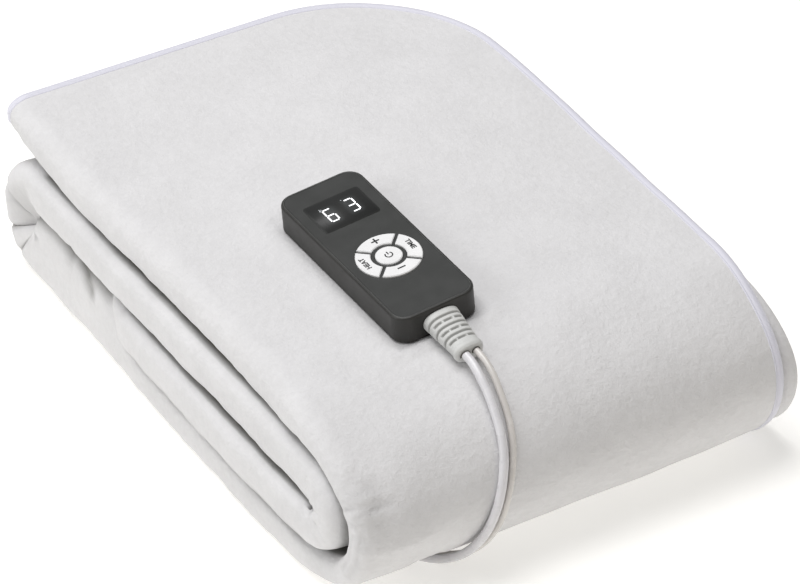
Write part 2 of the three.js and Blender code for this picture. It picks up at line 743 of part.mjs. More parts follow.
function addHandset() {
  const group = new THREE.Group();
  const clothTop = bundle.height * (1 + tableValue(crownRows, 'x', 'share', handset.x));
  group.position.set(handset.x, handset.y, clothTop + handset.seat);
  group.rotation.set(0, degrees(handset.lean), degrees(handset.turn), 'ZYX');
  part.add(group);
  add(group, 'handset_case', caseGeometry(), finish(0x3f3e39, 0.5));
  add(group, 'handset_face', faceGeometry(), finish(0x4b4c4b, 0.55));
  add(group, 'display_window', displayGeometry(), finish(0x424342, 0.15));
  for (const key of ringKeys) {
    add(group, key.name, keyGeometry(ringKeyShape(key.angle), 6), finish(0xf4f4f4, 0.3));
  }
  add(group, 'key_power', keyGeometry(centreKeyShape(), 14), finish(0xf4f4f4, 0.3));
  add(group, 'strain_relief', reliefGeometry(), finish(0xd7d9d6, 0.6));
}

function addLeads() {
  add(part, 'mains_lead', tube(mainsRoute, mains.diameter, 8, 2.4), finish(0xe8e7e7, 0.45));
  add(part, 'blanket_lead', tube(innerRoute, inner.diameter, 8, 2.6), finish(0xe6e0dd, 0.45));
  add(part, 'mains_coil', coilGeometry(), finish(0xe8e7e7, 0.45)).position.copy(coilCentre);
  add(part, 'mains_tail', tube(tailRoute, mains.diameter, 8, 1.2), finish(0xe8e7e7, 0.45));
  addPlug();
}

// Mains plug, lying flat beside the coil with its two slanted blades pointing away from the lead.
function addPlug() {
  const group = new THREE.Group();
  const tailEnd = tailRoute[tailRoute.length - 1];
  group.position.set(tailEnd.x + GAP, tailEnd.y, floorGap);
  part.add(group);
  const { length, taper, neck, chamfer, edge } = plug;
  const half = plug.width / 2;
  const oneSide = [[0, neck], [taper, half], [length - chamfer, half], [length, half - chamfer]];
  const otherSide = oneSide.map(([x, y]) => [x, -y]).reverse();
  const outline = new THREE.Shape([...oneSide, ...otherSide].map((p) => new THREE.Vector2(...p)));
  const body = new THREE.ExtrudeGeometry(outline, {
    depth: plug.height - 2 * edge,
    bevelEnabled: true,
    bevelSize: edge,
    bevelOffset: -edge,
    bevelThickness: edge,
    bevelSegments: 2,
  }).translate(0, 0, edge);
  add(group, 'plug_body', body, finish(0xe8e7e7, 0.4));
  for (const [name, side] of [['plug_pin_left', 1], ['plug_pin_right', -1]]) {
    const blade = new THREE.BoxGeometry(plug.pinLength, plug.pinWide, plug.pinThick);
    const pin = add(group, name, blade, finish(0xb8b8b4, 0.3, 1));
    pin.position.set(length + GAP + plug.pinLength / 2, (side * plug.pinSpacing) / 2, plug.height / 2);
    pin.rotation.x = side * degrees(plug.pinSlant);
  }
}

addCloth();
addHandset();
addLeads();

export default part;
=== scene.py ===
"""Looks of a folded electric heated blanket with its wired handset.

The classes hold their sizes in millimetres, and a mesh is turned to metres when it is made. The
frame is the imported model's: +Z up, the bundle's front turn towards -Y, its hems towards +X.
"""

from __future__ import annotations

import logging
import math
from dataclasses import dataclass, field
from enum import Enum, IntEnum
from typing import Callable, Iterable, Sequence

import bmesh
import bpy
import numpy as np
from mathutils import Matrix, Vector, noise

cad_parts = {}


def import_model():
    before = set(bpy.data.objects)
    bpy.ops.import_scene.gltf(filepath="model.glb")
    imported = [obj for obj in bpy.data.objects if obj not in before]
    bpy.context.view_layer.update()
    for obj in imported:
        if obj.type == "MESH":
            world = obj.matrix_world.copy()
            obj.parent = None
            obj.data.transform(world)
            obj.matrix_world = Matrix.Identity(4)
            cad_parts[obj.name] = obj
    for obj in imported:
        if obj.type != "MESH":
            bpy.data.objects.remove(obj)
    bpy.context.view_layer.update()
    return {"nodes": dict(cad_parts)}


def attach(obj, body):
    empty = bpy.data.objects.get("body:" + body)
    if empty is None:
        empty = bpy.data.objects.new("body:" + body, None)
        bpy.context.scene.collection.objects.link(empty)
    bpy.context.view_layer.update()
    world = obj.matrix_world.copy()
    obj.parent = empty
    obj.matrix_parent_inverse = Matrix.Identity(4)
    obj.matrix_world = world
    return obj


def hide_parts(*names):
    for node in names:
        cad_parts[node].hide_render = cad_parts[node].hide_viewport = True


MM = 0.001
FLAT_REACH = 250.0  # no flat leg of the cloth reaches past this y
LOG = logging.getLogger("blanket")

Point = tuple[float, float, float]
Colour = tuple[float, float, float]


# ---------------------------------------------------------------- small helpers


def smooth(share: np.ndarray | float) -> np.ndarray | float:
    """Smooth step from 0 to 1."""
    t = np.clip(share, 0.0, 1.0)
    return t * t * (3 - 2 * t)


def past(value: np.ndarray | float, start: float, over: float) -> np.ndarray | float:
    """Smooth share from 0 where a value passes a start to 1 once it is past it by over."""
    return smooth((value - start) / over)


def mix(a: np.ndarray | float, b: np.ndarray | float, t: np.ndarray | float) -> np.ndarray | float:
    """Value between a and b at share t."""
    return a + (b - a) * t


def blurred(values: np.ndarray, at: np.ndarray, width: np.ndarray | float) -> np.ndarray:
    """Smooths samples that stand at uneven places.

    Args:
        values: The samples.
        at: The place of each sample.
        width: Half width of the bell that blurs them, one for all or one for each.

    Returns:
        The blurred samples.
    """
    gap = np.diff(at)
    cell = np.concatenate([[gap[0]], (gap[1:] + gap[:-1]) / 2, [gap[-1]]])
    width = np.broadcast_to(width, at.shape)[:, None]
    weight = np.exp(-0.5 * ((at[:, None] - at[None, :]) / width) ** 2) * cell[None, :]
    return (weight @ values) / weight.sum(axis=1)


def clouds(
    a: np.ndarray, b: np.ndarray, wide: float, high: float, seed: float
) -> np.ndarray:
    """Soft random swelling over two coordinates.

    Args:
        a: First coordinate of each point.
        b: Second coordinate of each point.
        wide: Rough size of a swelling along the first coordinate.
        high: Rough size of a swelling along the second coordinate.
        seed: Fixed place in the noise.

    Returns:
        Values around 0.
    """
    return np.vectorize(lambda u, v: noise.noise(Vector((u / wide, v / high, seed))))(a, b)


def centripetal(points: Sequence[Point], spacing: float) -> np.ndarray:
    """Dense centripetal Catmull-Rom line through the points of a route.

    Args:
        points: The points that the line passes through.
        spacing: Rough distance between the points of the dense line.

    Returns:
        The points of the dense line, one row each.
    """
    p = np.array(points, float)
    p = np.vstack([2 * p[0] - p[1], p, 2 * p[-1] - p[-2]])
    line = [p[1]]
    for a, b, c, d in zip(p[:-3], p[1:-2], p[2:-1], p[3:]):
        t0, t1, t2 = (max(np.linalg.norm(v - u) ** 0.5, 1e-6) for u, v in ((a, b), (b, c), (c, d)))
        m1 = ((b - a) / t0 - (c - a) / (t0 + t1) + (c - b) / t1) * t1
        m2 = ((c - b) / t1 - (d - b) / (t1 + t2) + (d - c) / t2) * t1
        steps = max(2, int(np.ceil(np.linalg.norm(c - b) / spacing)))
        for k in range(1, steps + 1):
            t = k / steps
            line.append(
                b * (2 * t**3 - 3 * t**2 + 1)
                + m1 * (t**3 - 2 * t**2 + t)
                + c * (3 * t**2 - 2 * t**3)
                + m2 * (t**3 - t**2)
            )
    return np.array(line)


def finished(name: str, bm: bmesh.types.BMesh, material: bpy.types.Material) -> bpy.types.Object:
    """Turns a bmesh into a shown object at the origin.

    Args:
        name: Name of the piece.
        bm: The shape, in metres and in its place. It is freed.
        material: The finish of the piece.

    Returns:
        The new object, shaded smooth.
    """
    mesh = bpy.data.meshes.new(name)
    for face in bm.faces:
        face.smooth = True
    bm.to_mesh(mesh)
    bm.free()
    mesh.materials.append(material)
    piece = bpy.data.objects.new(name, mesh)
    bpy.context.scene.collection.objects.link(piece)
    LOG.info("%s: %d faces", name, len(mesh.polygons))
    return piece


def plate(wide: float, long: float, radius: float, segments: int = 8) -> bmesh.types.BMesh:
    """Flat plate with rounded corners, at height 0.

    Args:
        wide: Its size along x.
        long: Its size along y.
        radius: Radius of its corners.
        segments: Facets of each corner.

    Returns:
        The plate.
    """
    bm = bmesh.new()
    bmesh.ops.create_grid(bm, x_segments=1, y_segments=1, size=1.0)
    bmesh.ops.scale(bm, vec=(wide / 2, long / 2, 1), verts=bm.verts)
    shape = {"segments": segments, "profile": 0.5, "material": -1}
    bmesh.ops.bevel(bm, geom=bm.verts[:], offset=radius, affect="VERTICES", **shape)
    return bm


def raise_faces(bm: bmesh.types.BMesh, thick: float) -> None:
    """Extrudes all faces of a flat shape upwards.

    Args:
        bm: The flat shape.
        thick: How far its faces rise.
    """
    made = bmesh.ops.extrude_face_region(bm, geom=bm.faces[:])
    raised = [g for g in made["geom"] if isinstance(g, bmesh.types.BMVert)]
    bmesh.ops.translate(bm, verts=raised, vec=(0, 0, thick))


def shaped_grid(
    places: np.ndarray,
    flat: np.ndarray,
    closed: bool = False,
    cavity: np.ndarray | None = None,
) -> bmesh.types.BMesh:
    """cavity: How deep in a recess each point lies, from 0 to 1, kept as an attribute by which
    shade is painted.

    Returns:
        The shaped grid.
    """
    rows, columns = places.shape[:2]
    bm = bmesh.new()
    uv = bm.loops.layers.uv.new("UVMap")
    deep = bm.verts.layers.float.new("cavity") if cavity is not None else None
    bmesh.ops.create_grid(bm, x_segments=columns - 1, y_segments=rows - 1, size=0.5)
    for vert in bm.verts:
        i = round((vert.co.x + 0.5) * (columns - 1))
        j = round((vert.co.y + 0.5) * (rows - 1))
        vert.index = j * columns + i
        vert.co = Vector(places[j, i])
        if deep is not None:
            vert[deep] = float(cavity[j, i])
    for face in bm.faces:
        for loop in face.loops:
            j, i = divmod(loop.vert.index, columns)
            loop[uv].uv = Vector(flat[j, i])
    if closed:
        bmesh.ops.remove_doubles(bm, verts=bm.verts, dist=1e-7)
    return bm


# ---------------------------------------------------------------- shader groups


class Net:
    """Short way to lay nodes and links in one node tree."""

    def __init__(self, tree: bpy.types.NodeTree) -> None:
        """Keeps the tree that is worked on."""
        self.tree = tree

    def node(self, kind: str, **facts: object) -> bpy.types.Node:
        """Adds a node.

        Args:
            kind: Type name of the node, without its prefix.
            facts: Properties of the node, or default values of its sockets where the name is one.

        Returns:
            The new node.
        """
        made = self.tree.nodes.new(f"ShaderNode{kind}")
        for name, value in facts.items():
            if name in made.bl_rna.properties:
                setattr(made, name, value)
            else:
                self.set(made, **{name: value})
        return made

    @staticmethod
    def set(node: bpy.types.Node, **values: object) -> None:
        """Sets the default values of a node's inputs, with _ for each space in their names."""
        for name, value in values.items():
            node.inputs[name.replace("_", " ")].default_value = value

    def link(self, source: bpy.types.NodeSocket, target: bpy.types.NodeSocket) -> None:
        """Links two sockets."""
        self.tree.links.new(source, target)

    def feed(self, value: object, target: bpy.types.NodeSocket) -> None:
        """Links a socket to another, or gives it a plain value.

        Args:
            value: A socket, a number or a colour with its alpha.
            target: The socket that takes it.
        """
        if isinstance(value, bpy.types.NodeSocket):
            self.link(value, target)
        else:
            target.default_value = value

    def maths(self, operation: str, a: object, b: object = 0.0) -> bpy.types.NodeSocket:
        """Adds a Math node.

        Args:
            operation: Name of the operation.
            a: First value or socket.
            b: Second value or socket.

        Returns:
            The result socket.
        """
        made = self.node("Math", operation=operation)
        for socket, value in zip(made.inputs, (a, b)):
            self.feed(value, socket)
        return made.outputs[0]

    def noise(
        self, vector: bpy.types.NodeSocket, scale: float, detail: float = 2.0
    ) -> bpy.types.NodeSocket:
        """Adds a Noise texture.

        Args:
            vector: The coordinates it reads.
            scale: Its scale, per metre.
            detail: Its number of finer octaves.

        Returns:
            The value socket.
        """
        made = self.node("TexNoise", Scale=scale, Detail=detail, Roughness=0.55)
        self.link(vector, made.inputs["Vector"])
        return made.outputs["Fac"]

    def ramp(self, value: bpy.types.NodeSocket, low: float, high: float) -> bpy.types.NodeSocket:
        """Stretches a value softly.

        Args:
            value: The value.
            low: What becomes 0.
            high: What becomes 1.

        Returns:
            The stretched value.
        """
        made = self.node("MapRange", interpolation_type="SMOOTHSTEP", From_Min=low, From_Max=high)
        self.link(value, made.inputs["Value"])
        return made.outputs["Result"]

    def mixed(self, mask: bpy.types.NodeSocket, low: object, high: object) -> bpy.types.NodeSocket:
        """Mixes two colours.

        Args:
            mask: Share of the second colour.
            low: First colour or its socket.
            high: Second colour or its socket.

        Returns:
            The colour socket.
        """
        made = self.node("Mix", data_type="RGBA")
        self.link(mask, made.inputs["Factor"])
        for name, value in (("A", low), ("B", high)):
            colour = value if isinstance(value, bpy.types.NodeSocket) else (*value, 1.0)
            self.feed(colour, made.inputs[name])
        return made.outputs["Result"]

    def cavity(self) -> bpy.types.NodeSocket:
        """How deep between parts the surface lies, from the mesh, which sets where shade is
        painted.
        """
        return self.node("Attribute", attribute_name="cavity").outputs["Fac"]


class EffectGroups:
    """Effects that several finishes share, each a node group that is built once."""

    @staticmethod
    def _shared(
        name: str,
        outputs: Iterable[str],
        extra: dict[str, float],
        lay: Callable[[Net, bpy.types.NodeOutputs, bpy.types.NodeInputs], None],
    ) -> bpy.types.NodeTree:
        """Gives a group with a Vector input, which is built the first time.

        Args:
            name: Name of the group.
            outputs: Names of its value outputs.
            extra: Names of its further value inputs, with their defaults.
            lay: Lays its nodes, given a net, the group's inputs and its outputs.

        Returns:
            The group.
        """
        if name in bpy.data.node_groups:
            return bpy.data.node_groups[name]
        group = bpy.data.node_groups.new(name, "ShaderNodeTree")
        face, value = group.interface, "NodeSocketFloat"
        face.new_socket(name="Vector", in_out="INPUT", socket_type="NodeSocketVector")
        for label, default in extra.items():
            made = face.new_socket(name=label, in_out="INPUT", socket_type=value)
            made.default_value = default
        for label in outputs:
            face.new_socket(name=label, in_out="OUTPUT", socket_type=value)
        start, end = group.nodes.new("NodeGroupInput"), group.nodes.new("NodeGroupOutput")
        lay(Net(group), start.outputs, end.inputs)
        return group

    @classmethod
    def nap(cls) -> bpy.types.NodeTree:
        """Brushed nap of the fleece: matted tufts over soft, uneven patches.

        Returns:
            The group, with outputs Patches, Tufts and Height.
        """

        def lay(net: Net, start: bpy.types.NodeOutputs, end: bpy.types.NodeInputs) -> None:
            """Adds up clumps, tufts and fibres.

            Args:
                net: Net of the group.
                start: The group's inputs.
                end: The group's outputs.
            """
            patches = net.noise(start["Vector"], 34.0, 3.0)
            clumps = net.noise(start["Vector"], 210.0, 3.0)
            tufts = net.noise(start["Vector"], 620.0, 2.0)
            fibres = net.noise(start["Vector"], 1900.0, 1.0)
            height = net.maths("MULTIPLY", clumps, 0.8)
            height = net.maths("ADD", height, net.maths("MULTIPLY", tufts, 0.22))
            height = net.maths("ADD", height, net.maths("MULTIPLY", fibres, 0.1))
            matted = net.maths("ADD", clumps, net.maths("MULTIPLY", tufts, 0.6))
            net.link(net.ramp(patches, 0.3, 0.7), end["Patches"])
            net.link(net.ramp(matted, 0.5, 1.1), end["Tufts"])
            net.link(height, end["Height"])

        return cls._shared("fleece_nap", ("Patches", "Tufts", "Height"), {}, lay)

    @classmethod
    def grain(cls) -> bpy.types.NodeTree:
        """Spark-eroded grain of moulded plastic, with the faint clouding of handling.

        Returns:
            The group, with outputs Clouding and Height.
        """

        def lay(net: Net, start: bpy.types.NodeOutputs, end: bpy.types.NodeInputs) -> None:
            """Lays the grain at the group's fineness and the clouding.

            Args:
                net: Net of the group.
                start: The group's inputs.
                end: The group's outputs.
            """
            grain = net.node("TexNoise", Detail=2.0, Roughness=0.6)
            net.link(start["Vector"], grain.inputs["Vector"])
            net.link(start["Fineness"], grain.inputs["Scale"])
            clouding = net.noise(start["Vector"], 70.0, 3.0)
            net.link(net.ramp(clouding, 0.35, 0.75), end["Clouding"])
            net.link(grain.outputs["Fac"], end["Height"])

        return cls._shared("moulded_grain", ("Clouding", "Height"), {"Fineness": 1500.0}, lay)

    @classmethod
    def dust(cls) -> bpy.types.NodeTree:
        """Faint lint that settles on faces that look up.

        Returns:
            The group, with the output Mask.
        """

        def lay(net: Net, start: bpy.types.NodeOutputs, end: bpy.types.NodeInputs) -> None:
            """Lays specks where the face looks up.

            Args:
                net: Net of the group.
                start: The group's inputs.
                end: The group's outputs.
            """
            split = net.node("SeparateXYZ")
            net.link(net.node("NewGeometry").outputs["Normal"], split.inputs[0])
            facing = net.ramp(split.outputs["Z"], 0.5, 1.0)
            specks = net.ramp(net.noise(start["Vector"], 900.0, 3.0), 0.55, 0.8)
            amount = net.maths("MULTIPLY", specks, start["Amount"])
            net.link(net.maths("MULTIPLY", facing, amount), end["Mask"])

        return cls._shared("settled_lint", ("Mask",), {"Amount": 0.2}, lay)


# ---------------------------------------------------------------- finishes


class Coordinates(Enum):
    """What a finish reads its pattern from."""

    OBJECT = "Object"
    FLAT = "UV"


@dataclass(frozen=True)
class Finish:
    """Base of every finish: a Principled surface with a pattern.

    Attributes:
        name: Name of the material.
        light: Lighter colour of the surface.
        dark: Darker colour of the surface.
        roughness: Middle roughness.
        reads: Coordinates that the pattern is read from.
    """

    name: str
    light: Colour
    dark: Colour
    roughness: float
    reads: Coordinates = Coordinates.OBJECT

    def make(self) -> bpy.types.Material:
        """Makes the material.

        Returns:
            The material, ready to be put on a piece.
        """
        material = bpy.data.materials.new(self.name)
        material.use_nodes = True
        material.diffuse_color = (*self.light, 1.0)
        net = Net(material.node_tree)
        surface = material.node_tree.nodes["Principled BSDF"]
        surface.inputs["Roughness"].default_value = self.roughness
        where = net.node("TexCoord").outputs[self.reads.value]
        self.dress(net, surface, where)
        return material

    def dress(self, net: Net, surface: bpy.types.Node, where: bpy.types.NodeSocket) -> None:
        """Lays the pattern. A finish of its own kind overrides this.

        Args:
            net: Net of the material.
            surface: The Principled node.
            where: The coordinates.
        """
        self.colour(net, surface, net.ramp(net.noise(where, 60.0, 3.0), 0.3, 0.7))

    def colour(self, net: Net, surface: bpy.types.Node, mask: bpy.types.NodeSocket) -> None:
        """Sets the base colour between dark and light by a mask."""
        net.link(net.mixed(mask, self.dark, self.light), surface.inputs["Base Color"])

    def rough(
        self, net: Net, surface: bpy.types.Node, mask: bpy.types.NodeSocket, spread: float
    ) -> None:
        """Lets the roughness vary by a mask, spread to each side of its middle."""
        value = net.maths("ADD", net.maths("MULTIPLY", mask, 2 * spread), self.roughness - spread)
        net.link(value, surface.inputs["Roughness"])

    @staticmethod
    def bump(
        net: Net,
        surface: bpy.types.Node,
        height: bpy.types.NodeSocket,
        distance: float,
        strength: float = 1.0,
    ) -> None:
        """Raises the surface's fine relief.

        Args:
            net: Net of the material.
            surface: The Principled node.
            height: Height socket.
            distance: Height of the relief in metres.
            strength: Share of the relief that shows.
        """
        made = net.node("Bump", Strength=strength, Distance=distance)
        net.link(height, made.inputs["Height"])
        net.link(made.outputs["Normal"], surface.inputs["Normal"])

    @staticmethod
    def group(
        net: Net, tree: bpy.types.NodeTree, where: bpy.types.NodeSocket, **values: float
    ) -> bpy.types.Node:
        """Places a node group in the material.

        Args:
            net: Net of the material.
            tree: The group.
            where: The coordinates.
            values: Values of the group's own inputs.

        Returns:
            The group's node.
        """
        made = net.node("Group")
        made.node_tree = tree
        net.link(where, made.inputs["Vector"])
        net.set(made, **values)
        return made


@dataclass(frozen=True)
class Fleece(Finish):
    """Thick brushed fleece.

    Attributes:
        relief: Height of the nap in metres.
        sheen: Weight of the fibre sheen.
        patchy: Share of the wide patches in the shading, against that of the tufts.
        painted_shade: Colour of the shade painted deep between the folds, where no light comes.
    """

    relief: float = 0.00095
    sheen: float = 0.12
    patchy: float = 0.45
    painted_shade: Colour = (0.13, 0.125, 0.11)

    def dress(self, net: Net, surface: bpy.types.Node, where: bpy.types.NodeSocket) -> None:
        """Lays the nap and its soft patches, and paints shade deep between the folds and in the
        creases.

        Args:
            net: Net of the material.
            surface: The Principled node.
            where: The coordinates.
        """
        nap = self.group(net, EffectGroups.nap(), where)
        patches = net.maths("MULTIPLY", nap.outputs["Patches"], self.patchy)
        tufts = net.maths("MULTIPLY", nap.outputs["Tufts"], 1 - self.patchy)
        nap_colour = net.mixed(net.maths("ADD", patches, tufts), self.dark, self.light)
        # painted shade: the cavity attribute darkens the colour deep between the folds and at
        # crease bottoms
        colour = net.mixed(net.cavity(), nap_colour, self.painted_shade)
        net.link(colour, surface.inputs["Base Color"])
        self.bump(net, surface, nap.outputs["Height"], self.relief)
        net.set(
            surface, Sheen_Weight=self.sheen, Sheen_Roughness=0.6, Specular_IOR_Level=0.15
        )


@dataclass(frozen=True)
class SatinTape(Finish):
    """Satin binding tape, with a fine rib along it."""

    def dress(self, net: Net, surface: bpy.types.Node, where: bpy.types.NodeSocket) -> None:
        """Lays the ribs of the weave along the tape.

        Args:
            net: Net of the material.
            surface: The Principled node.
            where: The coordinates.
        """
        kind = {"wave_type": "BANDS", "bands_direction": "Y"}
        wave = net.node("TexWave", **kind, Scale=420.0, Distortion=1.5, Detail=1.0)
        net.link(where, wave.inputs["Vector"])
        self.colour(net, surface, net.ramp(wave.outputs["Fac"], 0.0, 1.0))
        self.bump(net, surface, wave.outputs["Fac"], 0.00012, 0.7)
        net.set(surface, Sheen_Weight=0.2)


@dataclass(frozen=True)
class Moulded(Finish):
    """Moulded plastic.

    Attributes:
        fineness: Scale of the moulded grain, per metre.
        relief: Height of the grain in metres.
        coat: Weight of a clear gloss layer.
        lint: Amount of lint on faces that look up.
    """

    fineness: float = 1500.0
    relief: float = 0.00003
    coat: float = 0.0
    lint: float = 0.0

    def dress(self, net: Net, surface: bpy.types.Node, where: bpy.types.NodeSocket) -> None:
        """Lays the grain, the clouding of handling and a little lint.

        Args:
            net: Net of the material.
            surface: The Principled node.
            where: The coordinates.
        """
        grain = self.group(net, EffectGroups.grain(), where, Fineness=self.fineness)
        lint = self.group(net, EffectGroups.dust(), where, Amount=self.lint)
        shade = net.maths("ADD", grain.outputs["Clouding"], lint.outputs["Mask"])
        self.colour(net, surface, shade)
        self.rough(net, surface, grain.outputs["Clouding"], 0.05)
        self.bump(net, surface, grain.outputs["Height"], self.relief)
        net.set(surface, Coat_Weight=self.coat, Coat_Roughness=0.12)


@dataclass(frozen=True)
class GroovedRubber(Moulded):
    """Moulded rubber with shade painted into its grooves and slots.

    Attributes:
        painted_shade: Colour of the shade painted at the bottom of a groove.
    """

    painted_shade: Colour = (0.3, 0.3, 0.285)

    def colour(self, net: Net, surface: bpy.types.Node, mask: bpy.types.NodeSocket) -> None:
        """Sets the base colour by the mask, with shade painted where the piece is grooved."""
        moulded = net.mixed(mask, self.dark, self.light)
        net.link(net.mixed(net.cavity(), moulded, self.painted_shade), surface.inputs["Base Color"])


@dataclass(frozen=True)
class Vinyl(Finish):
    """Glossy sheath of a lead, faintly see-through at its skin."""

    def dress(self, net: Net, surface: bpy.types.Node, where: bpy.types.NodeSocket) -> None:
        """Lays the slight unevenness of an extruded sheath.

        Args:
            net: Net of the material.
            surface: The Principled node.
            where: The coordinates.
        """
        grain = self.group(net, EffectGroups.grain(), where, Fineness=240.0)
        self.colour(net, surface, grain.outputs["Clouding"])
        self.rough(net, surface, grain.outputs["Clouding"], 0.04)
        self.bump(net, surface, grain.outputs["Height"], 0.00004)
        net.set(surface, Coat_Weight=0.5, Coat_Roughness=0.15)


@dataclass(frozen=True)
class Blade(Finish):
    """Rolled metal of the plug's blades."""

    def dress(self, net: Net, surface: bpy.types.Node, where: bpy.types.NodeSocket) -> None:
        """Lays the rolling marks.

        Args:
            net: Net of the material.
            surface: The Principled node.
            where: The coordinates.
        """
        stretch = net.node("Mapping", vector_type="POINT")
        stretch.inputs["Scale"].default_value = (0.08, 1.0, 1.0)
        net.link(where, stretch.inputs["Vector"])
        marks = net.noise(stretch.outputs["Vector"], 2600.0, 2.0)
        self.colour(net, surface, marks)
        self.rough(net, surface, marks, 0.08)
        self.bump(net, surface, marks, 0.00001)
        net.set(surface, Metallic=1.0)


@dataclass(frozen=True)
class Lit(Finish):
    """A display segment that glows through the window.

    Attributes:
        power: Strength of its light.
    """

    power: float = 1.0

    def dress(self, net: Net, surface: bpy.types.Node, where: bpy.types.NodeSocket) -> None:
        """Lays the faint unevenness of the light across a segment.

        Args:
            net: Net of the material.
            surface: The Principled node.
            where: The coordinates.
        """
        mask = net.ramp(net.noise(where, 400.0, 1.0), 0.2, 0.8)
        self.colour(net, surface, mask)
        net.link(net.mixed(mask, self.dark, self.light), surface.inputs["Emission Color"])
        net.set(surface, Emission_Strength=self.power)


@dataclass(frozen=True)
class LensFilm(Finish):
    """Thin film over the display: face coloured at its rim, dark inside, lit round the digits.

    Attributes:
        middle: Middle of the dark field in the handset's own axes, in metres.
        half: Half sizes of the dark field in metres.
        rim: Width over which the dark field fades.
        lamps: Middles of the digits in the same axes.
        lamp_half: Half sizes of the brightest part round a digit.
        lamp_fade: Width over which the halo of a digit fades.
        halo: Colour of the light round a digit.
    """

    middle: tuple[float, float] = (0.0, 0.0382)
    half: tuple[float, float] = (0.0165, 0.0122)
    lamps: tuple[tuple[float, float], ...] = ((-0.0074, 0.0377), (0.0074, 0.0386))
    rim: float = 0.0022
    lamp_half: tuple[float, float] = (0.0022, 0.0055)
    lamp_fade: float = 0.0042
    halo: Colour = (0.026, 0.028, 0.029)

    @staticmethod
    def within(
        net: Net,
        axes: bpy.types.Node,
        at: tuple[float, float],
        half: tuple[float, float],
        soft: float,
    ) -> bpy.types.NodeSocket:
        """Mask that is 1 within an oblong and falls softly to 0 outside it.

        Args:
            net: Net of the material.
            axes: Separated coordinates.
            at: Middle of the oblong.
            half: Its half sizes.
            soft: Width of the fall.

        Returns:
            The mask.
        """
        gaps = []
        for axis, middle, reach in zip("XY", at, half):
            off = net.maths("ABSOLUTE", net.maths("SUBTRACT", axes.outputs[axis], middle))
            gaps.append(net.maths("MAXIMUM", net.maths("SUBTRACT", off, reach), 0.0))
        squares = (net.maths("POWER", gap, 2.0) for gap in gaps)
        far = net.maths("SQRT", net.maths("ADD", *squares))
        return net.maths("SUBTRACT", 1.0, net.ramp(far, 0.0, soft))

    def dress(self, net: Net, surface: bpy.types.Node, where: bpy.types.NodeSocket) -> None:
        """Lays the dark field and the halo of the lit digits.

        Args:
            net: Net of the material.
            surface: The Principled node.
            where: The coordinates.
        """
        grain = self.group(net, EffectGroups.grain(), where, Fineness=1500.0)
        axes = net.node("SeparateXYZ")
        net.link(where, axes.inputs[0])
        dark_field = self.within(net, axes, self.middle, self.half, self.rim)
        self.colour(net, surface, net.maths("SUBTRACT", 1.0, dark_field))
        halos = (self.within(net, axes, at, self.lamp_half, self.lamp_fade) for at in self.lamps)
        glow = net.mixed(net.maths("ADD", *halos), (0.0, 0.0, 0.0), self.halo)
        net.link(glow, surface.inputs["Emission Color"])
        net.set(surface, Emission_Strength=1.0)
        self.bump(net, surface, grain.outputs["Height"], 0.00002)


@dataclass(frozen=True)
class LightTable(Finish):
    """Pale floor that glows a little, as a light table does."""

    def dress(self, net: Net, surface: bpy.types.Node, where: bpy.types.NodeSocket) -> None:
        """Lays the faint clouding of the table and its glow.

        Args:
            net: Net of the material.
            surface: The Principled node.
            where: The coordinates.
        """
        mask = net.ramp(net.noise(where, 3.0, 2.0), 0.3, 0.7)
        self.colour(net, surface, mask)
        net.link(net.mixed(mask, self.dark, self.light), surface.inputs["Emission Color"])
        net.set(surface, Emission_Strength=0.5)


def made_of(finish: Finish) -> bpy.types.Material:
    """Dataclass field whose value is the material of a finish."""
    return field(default_factory=finish.make)


